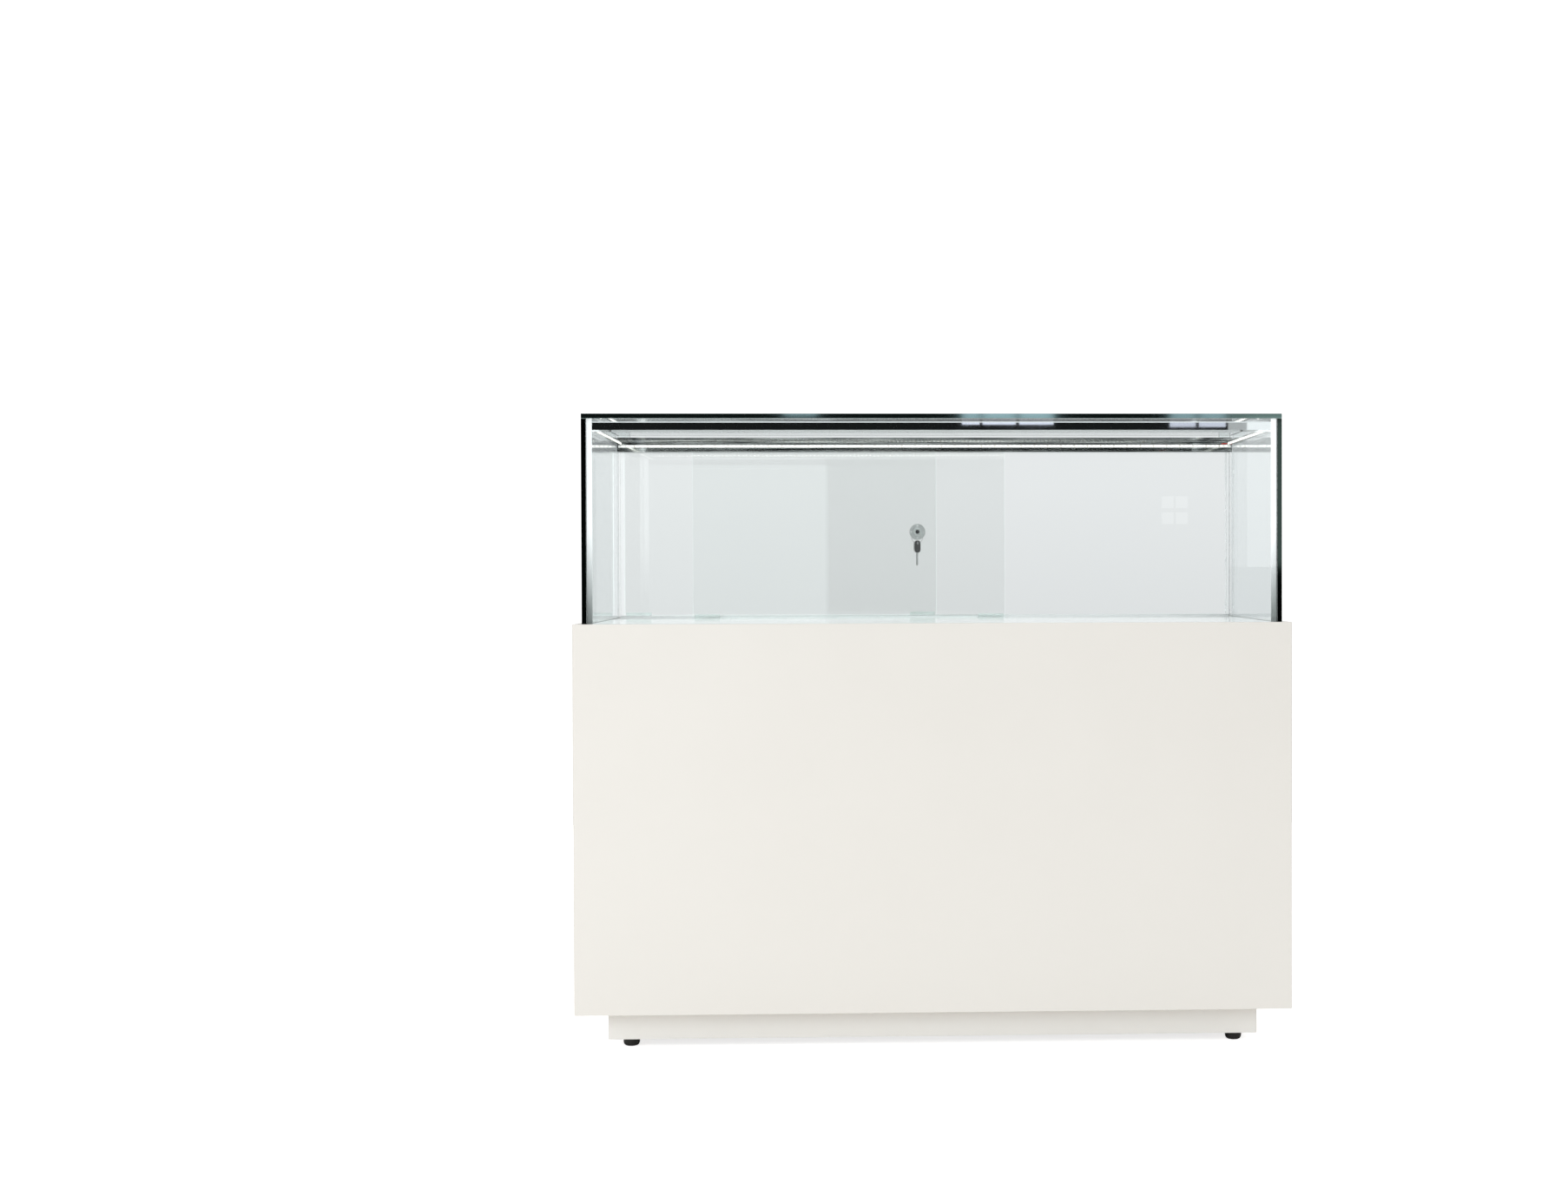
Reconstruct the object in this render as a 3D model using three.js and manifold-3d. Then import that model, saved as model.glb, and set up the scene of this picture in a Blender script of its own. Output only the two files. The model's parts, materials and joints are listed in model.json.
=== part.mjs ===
// Glass display case: a frameless glass hood with two locking sliding doors on a lacquered body.
//
// Millimetres, +Z up. The floor is z = 0 and the body is centred on x = 0, y = 0.
// The front of the case faces -Y, the sliding doors are at the back, on the +Y side.

import * as THREE from 'three';
import * as BufferGeometryUtils from 'three/addons/utils/BufferGeometryUtils.js';
import Module from 'manifold-3d';

const wasm = await Module();
wasm.setup();

// Driving dimensions
const bodyWidth = 1200;
const bodyDepth = 500;
const bodyHeight = 650;
const hoodHeight = 350;
const plinthHeight = 51;
const plinthRecess = 50;
const footHeight = 14;
const footInset = 37;          // foot centre from the end of the plinth
const footSetback = 22;        // foot centre from the plinth's front and back faces
const panelThickness = 12;
const paneThickness = 8;
const doorThickness = 5;
const hoodInset = 14;          // front and sides of the hood from the faces of the body
const hoodBackInset = 24;
const backRecess = 10;         // the back panel stands in from the ends of the side panels
const doorWidth = 587;
const gap = 0.3;               // clearance between pieces that touch
const overshoot = 1;           // how far a cutter runs past the face it opens
const lockFromEdge = 35.5;     // lock centre from the edge of the outer door
const lockHeight = 160.5;      // lock centre above the top of the body

// Levels
const plinthTop = footHeight + plinthHeight;
const bodyTop = plinthTop + bodyHeight;
const hoodTop = bodyTop + hoodHeight;
const paneTop = hoodTop - paneThickness;
const deckThickness = 15;
const deckUnder = bodyTop - deckThickness;
const deckTop = bodyTop - gap;

// Plan lines of the body, the hood and the plinth
const bodyX = bodyWidth / 2;
const bodyY = bodyDepth / 2;
const cavityX = bodyX - panelThickness;
const cavityFront = -bodyY + panelThickness;
const backFace = bodyY - backRecess;
const cavityBack = backFace - panelThickness;
const hoodX = bodyX - hoodInset;
const hoodFront = -bodyY + hoodInset;
const hoodBack = bodyY - hoodBackInset;
const chamberX = hoodX - paneThickness;
const chamberFront = hoodFront + paneThickness;
const plinthX = bodyX - plinthRecess;
const plinthY = bodyY - plinthRecess;

// Planes of the two doors: the inner door runs in front of the outer one
const outerDoorFront = hoodBack - 10;
const outerDoorBack = outerDoorFront + doorThickness;
const innerDoorFront = outerDoorFront - 10;
const innerDoorBack = innerDoorFront + doorThickness;
const trackFront = innerDoorFront - 4;
const jambReach = 12;                         // width of a jamb along the doors
const doorEnd = chamberX - jambReach + 1.7;   // a closed door's edge, inside its jamb
const outerDoorX = -doorEnd;                  // left edge of the outer door, closed
const innerDoorX = -438.6;                    // left edge of the inner door, standing part open
const trackDepth = 27;
const lampBarTop = paneTop - 5;
const doorTop = lampBarTop - 12;

function finish(color, roughness, metalness, extra = {}) {
  return new THREE.MeshStandardMaterial({ color, roughness, metalness, ...extra });
}

const finishes = {
  lacquer: finish(0xf1eee8, 0.42, 0),
  deckGloss: finish(0xf2f4f3, 0.08, 0),
  rawBoard: finish(0xb89a74, 0.85, 0),
  glass: finish(0xdfeeea, 0.03, 0, { transparent: true, opacity: 0.3 }),
  doorGlass: finish(0xd3e6e2, 0.03, 0, { transparent: true, opacity: 0.3 }),
  polishedMetal: finish(0xd9dcdf, 0.08, 1),
  satinMetal: finish(0xb9bdc0, 0.32, 1),
  jambPlastic: finish(0xe9ecee, 0.3, 0),
  shoePlastic: finish(0xa9b8b4, 0.35, 0),
  seal: finish(0x9fa7a3, 0.6, 0),
  lampStrip: finish(0xfdfcf6, 0.4, 0),
  clearBlock: finish(0xcfdcd8, 0.15, 0),
  footPlastic: finish(0x14110f, 0.45, 0),
  zincSteel: finish(0x9a9c9e, 0.35, 1),
  lockNickel: finish(0x8f9394, 0.25, 1),
  lockDark: finish(0x2c2e30, 0.4, 1),
  keyNickel: finish(0x6f7375, 0.3, 1),
  redWire: finish(0xc2281f, 0.5, 0),
  whiteWire: finish(0xe4e7e6, 0.4, 0),
  driverCase: finish(0xd8dad9, 0.55, 0),
  blackPlastic: finish(0x1c1d1e, 0.4, 0),
};

const displayCase = new THREE.Group();

function addMesh(name, geometry, material, position = [0, 0, 0], parent = displayCase) {
  const mesh = new THREE.Mesh(geometry, material);
  mesh.name = name;
  mesh.position.set(...position);
  parent.add(mesh);
  return mesh;
}

// ---------------------------------------------------------------- shapes

function outline(points) {
  return new THREE.Shape(points.map(([x, y]) => new THREE.Vector2(x, y)));
}

function roundedRectangle(width, height, radius) {
  const x = width / 2;
  const y = height / 2;
  const shape = new THREE.Shape();
  shape.moveTo(-x + radius, -y);
  shape.lineTo(x - radius, -y);
  shape.absarc(x - radius, -y + radius, radius, -Math.PI / 2, 0);
  shape.lineTo(x, y - radius);
  shape.absarc(x - radius, y - radius, radius, 0, Math.PI / 2);
  shape.lineTo(-x + radius, y);
  shape.absarc(-x + radius, y - radius, radius, Math.PI / 2, Math.PI);
  shape.lineTo(-x, -y + radius);
  shape.absarc(-x + radius, -y + radius, radius, Math.PI, 1.5 * Math.PI);
  return shape;
}

// The rims of an eased block are a little tighter than its corners, so no corner shrinks to a point.
const rimShare = 0.6;

// A shape pushed out along Z by length, from z = 0, its two rims eased by the given radius.
function prism(shape, length, ease = 0, curveSegments = 4) {
  const settings = { depth: length - 2 * ease, bevelEnabled: ease > 0, curveSegments, steps: 1 };
  if (ease > 0) {
    Object.assign(settings, { bevelThickness: ease, bevelSize: ease, bevelOffset: -ease, bevelSegments: 2 });
  }
  const geometry = new THREE.ExtrudeGeometry(shape, settings);
  geometry.translate(0, 0, ease);
  return geometry;
}

// A section drawn in (y, z) pushed out along X by length, from x = 0.
function railAlongX(points, length) {
  const geometry = prism(outline(points), length);
  geometry.rotateY(Math.PI / 2);
  geometry.rotateX(Math.PI / 2);
  return geometry;
}

// A box between low and high corners, placed by its centre, with edges eased by the given radius.
function block(name, low, high, material, ease = 0, parent = displayCase) {
  const size = high.map((value, axis) => value - low[axis]);
  const centre = high.map((value, axis) => (value + low[axis]) / 2);
  let geometry;
  if (ease > 0) {
    geometry = prism(roundedRectangle(size[0], size[1], ease), size[2], ease * rimShare, 2);
    geometry.translate(0, 0, -size[2] / 2);
  } else {
    geometry = new THREE.BoxGeometry(...size);
  }
  return addMesh(name, geometry, material, centre, parent);
}

// A solid of revolution about Z from (radius, z) points that start and end on the axis or close on themselves.
function turned(points, segments = 32) {
  const profile = points.map(([r, z]) => new THREE.Vector2(r, z));
  return new THREE.LatheGeometry(profile, segments).rotateX(Math.PI / 2);
}

function cylinder(radius, low, high, segments = 24) {
  return turned([[0, low], [radius, low], [radius, high], [0, high]], segments);
}

function wire(path, radius, steps, sides = 8) {
  const section = new THREE.Shape();
  section.absarc(0, 0, radius, 0, 2 * Math.PI);
  return new THREE.ExtrudeGeometry(section, {
    extrudePath: path, steps, bevelEnabled: false, curveSegments: sides / 2,
  });
}

// ---------------------------------------------------------------- cuts and joins

function toManifold(geometry) {
  const bare = geometry.clone();
  bare.deleteAttribute('normal');
  bare.deleteAttribute('uv');
  const merged = BufferGeometryUtils.mergeVertices(bare, 1e-4);
  return new wasm.Manifold(new wasm.Mesh({
    numProp: 3,
    vertProperties: new Float32Array(merged.attributes.position.array),
    triVerts: new Uint32Array(merged.index.array),
  }));
}

function toGeometry(manifold) {
  const mesh = manifold.getMesh();
  const geometry = new THREE.BufferGeometry();
  geometry.setAttribute('position', new THREE.BufferAttribute(mesh.vertProperties, 3));
  geometry.setIndex(new THREE.BufferAttribute(mesh.triVerts, 1));
  geometry.computeVertexNormals();
  return geometry;
}

function cut(geometry, ...tools) {
  return toGeometry(tools.reduce((solid, tool) => solid.subtract(toManifold(tool)), toManifold(geometry)));
}

function join(geometry, ...others) {
  return toGeometry(others.reduce((solid, other) => solid.add(toManifold(other)), toManifold(geometry)));
}

// ---------------------------------------------------------------- body

const boardEase = { corner: 0.6, rim: 0.3 };

// Plan of an upright board centred on x = 0 with its outer face on y = 0 and its outer corners eased.
// An end is mitred at 45 degrees or square.
function boardPlan(length, leftMitred, rightMitred) {
  const ease = boardEase.corner;
  const half = length / 2;
  const tip = half - gap;
  const end = (side, mitred) => (mitred
    ? [[tip - 2 * ease, 0], [tip - ease, ease], [tip - panelThickness, panelThickness]]
    : [[half - ease, 0], [half, ease], [half, panelThickness]]
  ).map(([x, y]) => [side * x, y]);
  return outline([...end(1, rightMitred), ...end(-1, leftMitred).reverse()]);
}

// An upright board whose outer face is centred on (x, y) and looks along -Y turned by the given angle.
// Cutters are in the case's own frame.
function uprightBoard(name, plan, [x, y, turn], low, high, cutters = []) {
  const tools = cutters.map((cutter) => cutter.translate(-x, -y, -low).rotateZ(-turn));
  const plain = prism(plan, high - low, boardEase.rim);
  const board = tools.length > 0 ? cut(plain, ...tools) : plain;
  addMesh(name, board, finishes.lacquer, [x, y, low]).rotation.z = turn;
}

function buildBody() {
  const quarter = Math.PI / 2;
  const backWidth = 2 * (cavityX - gap);
  const fullWidth = boardPlan(bodyWidth, true, true);
  uprightBoard('front_panel', fullWidth, [0, -bodyY, 0], plinthTop, bodyTop);
  uprightBoard('right_panel', boardPlan(bodyDepth, true, false), [bodyX, 0, quarter], plinthTop, bodyTop);
  uprightBoard('left_panel', boardPlan(bodyDepth, false, true), [-bodyX, 0, -quarter], plinthTop, bodyTop);
  uprightBoard(
    'back_panel', boardPlan(backWidth, false, false), [0, backFace, Math.PI], plinthTop, bodyTop,
    [glandHole(), switchOpening()],
  );
  const baseThickness = 16;
  const dividerThickness = 16;
  const dividerHeadroom = 10;
  const clearX = cavityX - gap;
  const front = cavityFront + gap;
  const back = cavityBack - gap;
  const baseTop = plinthTop + baseThickness;
  const halfDivider = dividerThickness / 2;
  block('base_board', [-clearX, front, plinthTop], [clearX, back, baseTop], finishes.rawBoard);
  block(
    'centre_divider',
    [-halfDivider, front, baseTop + gap], [halfDivider, back, ledgeUnder - dividerHeadroom],
    finishes.rawBoard,
  );
}

// ---------------------------------------------------------------- plinth and feet

const stemRadius = 4;
const footPlaces = [];
for (const [side, sideName] of [[-1, 'left'], [1, 'right']]) {
  for (const [end, endName] of [[-1, 'front'], [1, 'back']]) {
    footPlaces.push({
      name: `${endName}_${sideName}`,
      x: side * (plinthX - footInset),
      y: end * (plinthY - footSetback),
      side,
      end,
    });
  }
}

function buildPlinth() {
  const boards = [['front', 0, -plinthY], ['right', plinthX, 0], ['back', 0, plinthY], ['left', -plinthX, 0]];
  boards.forEach(([name, x, y], side) => {
    const plan = boardPlan(side % 2 === 0 ? 2 * plinthX : 2 * plinthY, true, true);
    uprightBoard(`plinth_${name}`, plan, [x, y, (side * Math.PI) / 2], footHeight, plinthTop - gap);
  });
  const blockLength = 60;
  const blockTop = plinthTop - gap;
  const boreRoof = 6;
  const bore = cylinder(stemRadius + gap, footHeight - overshoot, blockTop - boreRoof);
  for (const { name, x, y, side, end } of footPlaces) {
    const outerX = side * (plinthX - panelThickness - gap);
    const outerY = end * (plinthY - panelThickness - gap);
    const innerX = outerX - side * blockLength;
    const innerY = outerY - end * blockLength;
    const low = [Math.min(outerX, innerX), Math.min(outerY, innerY)];
    const cube = new THREE.BoxGeometry(blockLength, blockLength, blockTop - footHeight);
    cube.translate(low[0] + blockLength / 2, low[1] + blockLength / 2, (blockTop + footHeight) / 2);
    addMesh(`corner_block_${name}`, cut(cube, bore.clone().translate(x, y, 0)), finishes.rawBoard);
  }
}

// A dished foot: a narrow flat sole that widens to a collar under the plinth, on a threaded stem.
function buildFeet() {
  const sole = 9;
  const collar = 14;
  const collarTop = footHeight - 1;
  const collarEase = 0.8;
  const stemTop = plinthTop - 12;
  const dishHeight = 8;
  const dishSteps = 4;
  const profile = [[0, 0], [sole, 0]];
  for (let step = 1; step <= dishSteps; step += 1) {
    const turn = (step / dishSteps) * (Math.PI / 2);
    profile.push([sole + (collar - sole) * Math.sin(turn), dishHeight * (1 - Math.cos(turn))]);
  }
  profile.push([collar, collarTop - collarEase], [collar - collarEase, collarTop]);
  profile.push([stemRadius, collarTop], [stemRadius, stemTop], [0, stemTop]);
  for (const { name, x, y } of footPlaces) {
    addMesh(`foot_${name}`, turned(profile, 24), finishes.footPlastic, [x, y, 0]);
  }
}

// ---------------------------------------------------------------- deck and ledge

const ledgeHeight = 20;
const ledgeUnder = deckUnder - gap - ledgeHeight;
const supplyLead = { x: chamberX - 7, y: outerDoorBack - 1.5, radius: 1.5 };

// The hole that the supply lead passes up through, from the ledge to above the bottom track.
function leadHole() {
  const clearance = 0.8;
  const trackHeadroom = 10;
  const hole = cylinder(supplyLead.radius + clearance, ledgeUnder - overshoot, deckTop + trackHeadroom, 16);
  return hole.translate(supplyLead.x, supplyLead.y, 0);
}

// A frame glued inside the top of the body: the panes and the deck stand on it.
function buildLedge() {
  const ledgeWidth = 28;
  const outerX = cavityX - gap;
  const front = cavityFront + gap;
  const back = cavityBack - gap;
  const frame = outline([[-outerX, front], [outerX, front], [outerX, back], [-outerX, back]]);
  const innerX = outerX - ledgeWidth;
  const innerFront = front + ledgeWidth;
  const innerBack = back - ledgeWidth;
  frame.holes.push(new THREE.Path([
    new THREE.Vector2(-innerX, innerFront), new THREE.Vector2(-innerX, innerBack),
    new THREE.Vector2(innerX, innerBack), new THREE.Vector2(innerX, innerFront),
  ]));
  const ring = prism(frame, ledgeHeight).translate(0, 0, ledgeUnder);
  addMesh('glass_ledge', cut(ring, leadHole()), finishes.rawBoard);
}

function buildDeck() {
  const clearance = 2;
  const arris = 0.5;
  const edge = chamberX - clearance;
  const low = [-edge, chamberFront + clearance, deckUnder];
  block('deck_board', low, [edge, trackFront, deckTop], finishes.deckGloss, arris);
}

// ---------------------------------------------------------------- glass hood

function buildHood() {
  const arris = 0.5;
  const front = [[-chamberX + gap, hoodFront, deckUnder], [chamberX - gap, chamberFront, paneTop - gap]];
  block('front_pane', ...front, finishes.glass, arris);
  for (const [side, name] of [[-1, 'left'], [1, 'right']]) {
    const [low, high] = [side * chamberX, side * hoodX].sort((a, b) => a - b);
    block(`${name}_pane`, [low, hoodFront, deckUnder], [high, hoodBack, paneTop - gap], finishes.glass, arris);
  }
  block('top_pane', [-hoodX, hoodFront, paneTop], [hoodX, hoodBack, hoodTop], finishes.glass, arris);
  buildSeal();
  buildCornerStrips();
}

// A soft seal pressed between the foot of the panes and the body, along the front and both sides.
function buildSeal() {
  const outerX = cavityX - gap;
  const innerX = hoodX + gap;
  const outerFront = cavityFront + gap;
  const innerFront = hoodFront - gap;
  const plan = outline([
    [-outerX, outerFront], [outerX, outerFront], [outerX, hoodBack], [innerX, hoodBack],
    [innerX, innerFront], [-innerX, innerFront], [-innerX, hoodBack], [-outerX, hoodBack],
  ]);
  const sealHeight = 8;
  addMesh('hood_seal', prism(plan, sealHeight), finishes.seal, [0, 0, bodyTop - sealHeight - gap]);
}

// Polished angles bonded into the two front vertical corners.
const cornerLeg = 9;

function buildCornerStrips() {
  const wall = 1.5;
  const low = deckTop + gap;
  const high = paneTop - gap;
  for (const [side, name] of [[-1, 'left'], [1, 'right']]) {
    const plan = outline([
      [0, 0], [cornerLeg, 0], [cornerLeg, wall], [wall, wall], [wall, cornerLeg], [0, cornerLeg],
    ]);
    const strip = addMesh(`corner_strip_${name}`, prism(plan, high - low), finishes.polishedMetal);
    strip.position.set(side * (chamberX - gap), chamberFront + gap, low);
    if (side > 0) {
      strip.rotation.z = Math.PI / 2;
    }
  }
}

// ---------------------------------------------------------------- lamp bars

const barDepth = 10;
const frontBarHeight = 17;
const sideBarHeight = 9;
const slotDepth = 2.5;
const barStart = chamberFront + gap;
const backBarFront = trackFront - gap - barDepth;

// Section of a bar with a slot for its strip. It is drawn with its back on u = 0 and the slot at u = depth.
function barSection(height, slotLow, slotHeight, chamfer) {
  const upperChamfer = 0.6 * chamfer;
  return [
    [0, chamfer], [chamfer, 0], [barDepth, 0], [barDepth, slotLow], [barDepth - slotDepth, slotLow],
    [barDepth - slotDepth, slotLow + slotHeight], [barDepth, slotLow + slotHeight], [barDepth, height],
    [upperChamfer, height], [0, height - upperChamfer],
  ];
}

function buildLampBars() {
  const slotHeight = 5.6;
  const stripHeight = slotHeight - 2 * gap;
  const stripDepth = 1.9;
  const stripInset = 2;
  const sideStart = barStart + barDepth + gap;
  const frontReach = chamberX - cornerLeg - 2 * gap;
  const sideLength = backBarFront - gap - sideStart;
  const sideDrop = 21.5;
  const sideLow = paneTop - sideDrop;
  const bars = [
    { name: 'front', turn: 0, height: frontBarHeight, slotLow: 5, chamfer: 3, length: 2 * frontReach,
      place: [-frontReach, barStart, lampBarTop - frontBarHeight] },
    { name: 'back', turn: Math.PI, height: trackDepth, slotLow: 8, chamfer: 1, length: 2 * (chamberX - gap),
      place: [chamberX - gap, backBarFront + barDepth, lampBarTop - trackDepth] },
    { name: 'left', turn: -Math.PI / 2, height: sideBarHeight, slotLow: 1.6, chamfer: 1, length: sideLength,
      place: [-chamberX + gap, sideStart + sideLength, sideLow] },
    { name: 'right', turn: Math.PI / 2, height: sideBarHeight, slotLow: 1.6, chamfer: 1, length: sideLength,
      place: [chamberX - gap, sideStart, sideLow] },
  ];
  for (const { name, turn, height, slotLow, chamfer, length, place } of bars) {
    const group = new THREE.Group();
    group.position.set(...place);
    group.rotation.z = turn;
    displayCase.add(group);
    const section = barSection(height, slotLow, slotHeight, chamfer);
    addMesh(`lamp_bar_${name}`, railAlongX(section, length), finishes.polishedMetal, [0, 0, 0], group);
    const stripLow = [stripInset, barDepth - slotDepth + gap, slotLow + gap];
    const stripHigh = [length - stripInset, stripLow[1] + stripDepth, stripLow[2] + stripHeight];
    block(`lamp_strip_${name}`, stripLow, stripHigh, finishes.lampStrip, 0, group);
  }
  buildSpacers();
  buildJumper(sideLow + sideBarHeight / 2);
}

// Clear blocks that bond the back lamp bar to the top pane at its two ends.
function buildSpacers() {
  const spacerLength = 21;
  const endInset = 3;
  const faceInset = 0.5;
  for (const [side, name] of [[-1, 'left'], [1, 'right']]) {
    const ends = [side * (chamberX - endInset), side * (chamberX - endInset - spacerLength)];
    const low = [Math.min(...ends), backBarFront + faceInset, lampBarTop + gap];
    const high = [Math.max(...ends), backBarFront + barDepth - faceInset, paneTop - gap];
    block(`bar_spacer_${name}`, low, high, finishes.clearBlock);
  }
}

// The short wire that carries the supply from the right bar round the corner to the back bar.
function buildJumper(level) {
  const reach = 9;
  const sag = 1;
  const radius = 1.1;
  const start = new THREE.Vector3(chamberX - gap - barDepth - gap, backBarFront - reach, level);
  const end = new THREE.Vector3(start.x - reach, backBarFront - gap, level);
  const bend = new THREE.Vector3(end.x, start.y, level - sag);
  const path = new THREE.QuadraticBezierCurve3(start, bend, end);
  addMesh('lamp_jumper', wire(path, radius, 8), finishes.redWire);
}

// ---------------------------------------------------------------- tracks and jambs

const trackBack = hoodBack - gap;
const trackStart = trackFront + gap;
const innerFloor = bodyTop - 2;     // running surface of the inner door
const outerFloor = bodyTop + 1.5;   // running surface of the outer door, a step higher
const kerbHeight = 2;               // rise of the bottom track's back kerb above the outer floor

// A stepped extrusion: a low channel for the inner door, a wall, and a higher channel for the outer door.
function buildBottomTrack() {
  const endGap = 2;
  const wall = 1.5;
  const stepWall = innerDoorBack + 2;
  const stepRise = 1.5;
  const kerb = outerDoorBack + 1.8;
  const half = chamberX - endGap;
  const track = railAlongX([
    [trackStart, deckUnder], [trackBack, deckUnder],
    [trackBack, outerFloor + kerbHeight], [kerb, outerFloor + kerbHeight],
    [kerb, outerFloor], [stepWall + wall, outerFloor],
    [stepWall + wall, outerFloor + stepRise], [stepWall, outerFloor + stepRise],
    [stepWall, innerFloor], [trackStart + wall, innerFloor],
    [trackStart + wall, deckTop], [trackStart, deckTop],
  ], 2 * half);
  addMesh('bottom_track', cut(track.translate(-half, 0, 0), leadHole()), finishes.satinMetal);
}

// Three thin walls hanging from a web, one on each side of each door.
function buildTopTrack() {
  const half = chamberX - gap;
  const wall = 1.2;
  const web = 3;
  const low = lampBarTop - trackDepth;
  const roof = lampBarTop - web;
  const walls = [trackStart, innerDoorBack + 1.9, outerDoorBack + 1.6];
  const section = [[walls[0], lampBarTop], [walls[0], low]];
  walls.forEach((wallStart, index) => {
    section.push([wallStart + wall, low], [wallStart + wall, roof]);
    if (index < walls.length - 1) {
      section.push([walls[index + 1], roof], [walls[index + 1], low]);
    }
  });
  section.pop();
  section.push([walls[2] + wall, lampBarTop]);
  addMesh('top_track', railAlongX(section, 2 * half).translate(-half, 0, 0), finishes.satinMetal);
}

// A channel on the back edge of a side pane that takes the edge of a closed door.
function buildJambs() {
  const wall = 1.4;
  const base = 2.4;
  const play = 1.2;
  const lockPlay = 2;
  const low = outerFloor + kerbHeight + gap;
  const high = lampBarTop - trackDepth - gap;
  const jambs = [
    { name: 'left', side: -1, front: outerDoorFront - lockPlay - wall, back: outerDoorBack + play + wall },
    { name: 'right', side: 1, front: innerDoorFront - play - wall, back: innerDoorBack + play + wall },
  ];
  for (const { name, side, front, back } of jambs) {
    const root = chamberX - gap;
    const points = [
      [root, front], [root, back], [root - jambReach + gap, back], [root - jambReach + gap, back - wall],
      [root - base, back - wall], [root - base, front + wall], [root - jambReach + gap, front + wall],
      [root - jambReach + gap, front],
    ].map(([x, y]) => [side * x, y]);
    addMesh(`jamb_${name}`, prism(outline(points), high - low), finishes.jambPlastic, [0, 0, low]);
  }
}

// ---------------------------------------------------------------- doors

const shoeLength = 47;
const shoeInset = 3;

// A channel shoe on the lower edge of a door, closed along X, drawn about the middle of the glass.
function shoeGeometry(wall, height, floor) {
  const half = doorThickness / 2 + gap;
  return railAlongX([
    [-half - wall, 0], [half + wall, 0], [half + wall, height], [half, height],
    [half, floor], [-half, floor], [-half, height], [-half - wall, height],
  ], shoeLength);
}

// A pane with a shoe at each end of its lower edge. The shoe's wall fills its channel of the track.
function buildDoor(name, { left, front, trackFloor, shoeWall, cutters }) {
  const arris = 0.5;
  const shoeLow = trackFloor + gap;
  const shoeHeight = 7.7;
  const shoeFloor = 2.7;
  const low = shoeLow + shoeFloor + gap;
  const middle = front + doorThickness / 2;
  const plan = roundedRectangle(doorWidth, doorThickness, arris);
  const pane = prism(plan, doorTop - low, arris * rimShare, 2).translate(left + doorWidth / 2, middle, low);
  addMesh(`${name}_glass`, cutters.length > 0 ? cut(pane, ...cutters) : pane, finishes.doorGlass);
  const places = [['left', left + shoeInset], ['right', left + doorWidth - shoeInset - shoeLength]];
  for (const [end, x] of places) {
    const shoe = shoeGeometry(shoeWall, shoeHeight, shoeFloor);
    addMesh(`${name}_shoe_${end}`, shoe, finishes.shoePlastic, [x, middle, shoeLow]);
  }
}

const lock = { x: outerDoorX + doorWidth - lockFromEdge, z: bodyTop + lockHeight, barrel: 6.5 };

// Turns a piece drawn along +Z, with z = 0 on the outer door's inner face, so that it points to +Y at the lock.
function toLock(geometry) {
  return geometry.rotateX(-Math.PI / 2).translate(lock.x, outerDoorFront, lock.z);
}

function buildDoors() {
  const clearance = 0.4;
  const hole = toLock(cylinder(lock.barrel + clearance, -overshoot, doorThickness + overshoot, 32));
  buildDoor('outer_door', {
    left: outerDoorX, front: outerDoorFront, trackFloor: outerFloor, shoeWall: 0.8, cutters: [hole],
  });
  buildDoor('inner_door', {
    left: innerDoorX, front: innerDoorFront, trackFloor: innerFloor, shoeWall: 1.1, cutters: [],
  });
}

// ---------------------------------------------------------------- lock and keys

const plugRadius = 3.6;
const housingDepth = 7.5;
const housingFront = doorThickness + gap;             // front face of the housing, from the door's inner face
const housingBack = housingFront + housingDepth;
const runningGap = 0.2;                               // between turning metal pieces
const keyThickness = 1.8;
const bladeWidth = 5;
const bladeLength = 9;
const keyHoleRadius = 2.8;
const toothDepth = 1;

// A plate with the given bow above a straight blade, drawn in XY with the bow's centre on the origin.
function keyPlate(bowWidth, bowLength, bladeTo, holeOffset, teeth) {
  const shape = new THREE.Shape();
  const shoulder = Math.asin(bladeWidth / bowWidth);
  const [bowStart, bowEnd] = [-Math.PI / 2 + shoulder, 1.5 * Math.PI - shoulder];
  shape.absellipse(0, 0, bowWidth / 2, bowLength / 2, bowStart, bowEnd, false, 0);
  const half = bladeWidth / 2;
  shape.lineTo(-half, -bladeTo + half);
  shape.lineTo(0, -bladeTo);
  shape.lineTo(half, -bladeTo + half);
  const toothRun = (bladeTo - bowLength / 2 - half) / (2 * teeth + 1);
  for (let tooth = 0; tooth < teeth; tooth += 1) {
    const y = -bladeTo + half + (2 * tooth + 1) * toothRun;
    shape.lineTo(half, y);
    shape.lineTo(half - toothDepth, y + toothRun / 2);
    shape.lineTo(half, y + toothRun);
  }
  shape.closePath();
  const hole = new THREE.Path();
  hole.absarc(0, holeOffset, keyHoleRadius, 0, 2 * Math.PI, true);
  shape.holes.push(hole);
  return prism(shape, keyThickness, 0, 12).translate(0, 0, -keyThickness / 2);
}

// A ring nut on the inner face with four spanner holes.
function buildLockNut(back, front) {
  const bore = lock.barrel + runningGap;
  const radius = 14.6;
  const rim = 0.8;
  const nut = turned([
    [bore, back], [bore, front], [radius - rim, front], [radius, front + rim], [radius, back], [bore, back],
  ], 48);
  const hole = { radius: 1.7, depth: 1.4, circle: 10.5 };
  const spannerHoles = [0, 1, 2, 3].map((quarter) => {
    const angle = (quarter * Math.PI) / 2;
    const drill = cylinder(hole.radius, front - overshoot, front + hole.depth, 16);
    return drill.translate(hole.circle * Math.cos(angle), hole.circle * Math.sin(angle), 0);
  });
  addMesh('lock_nut', toLock(cut(nut, ...spannerHoles)), finishes.lockNickel);
}

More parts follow.
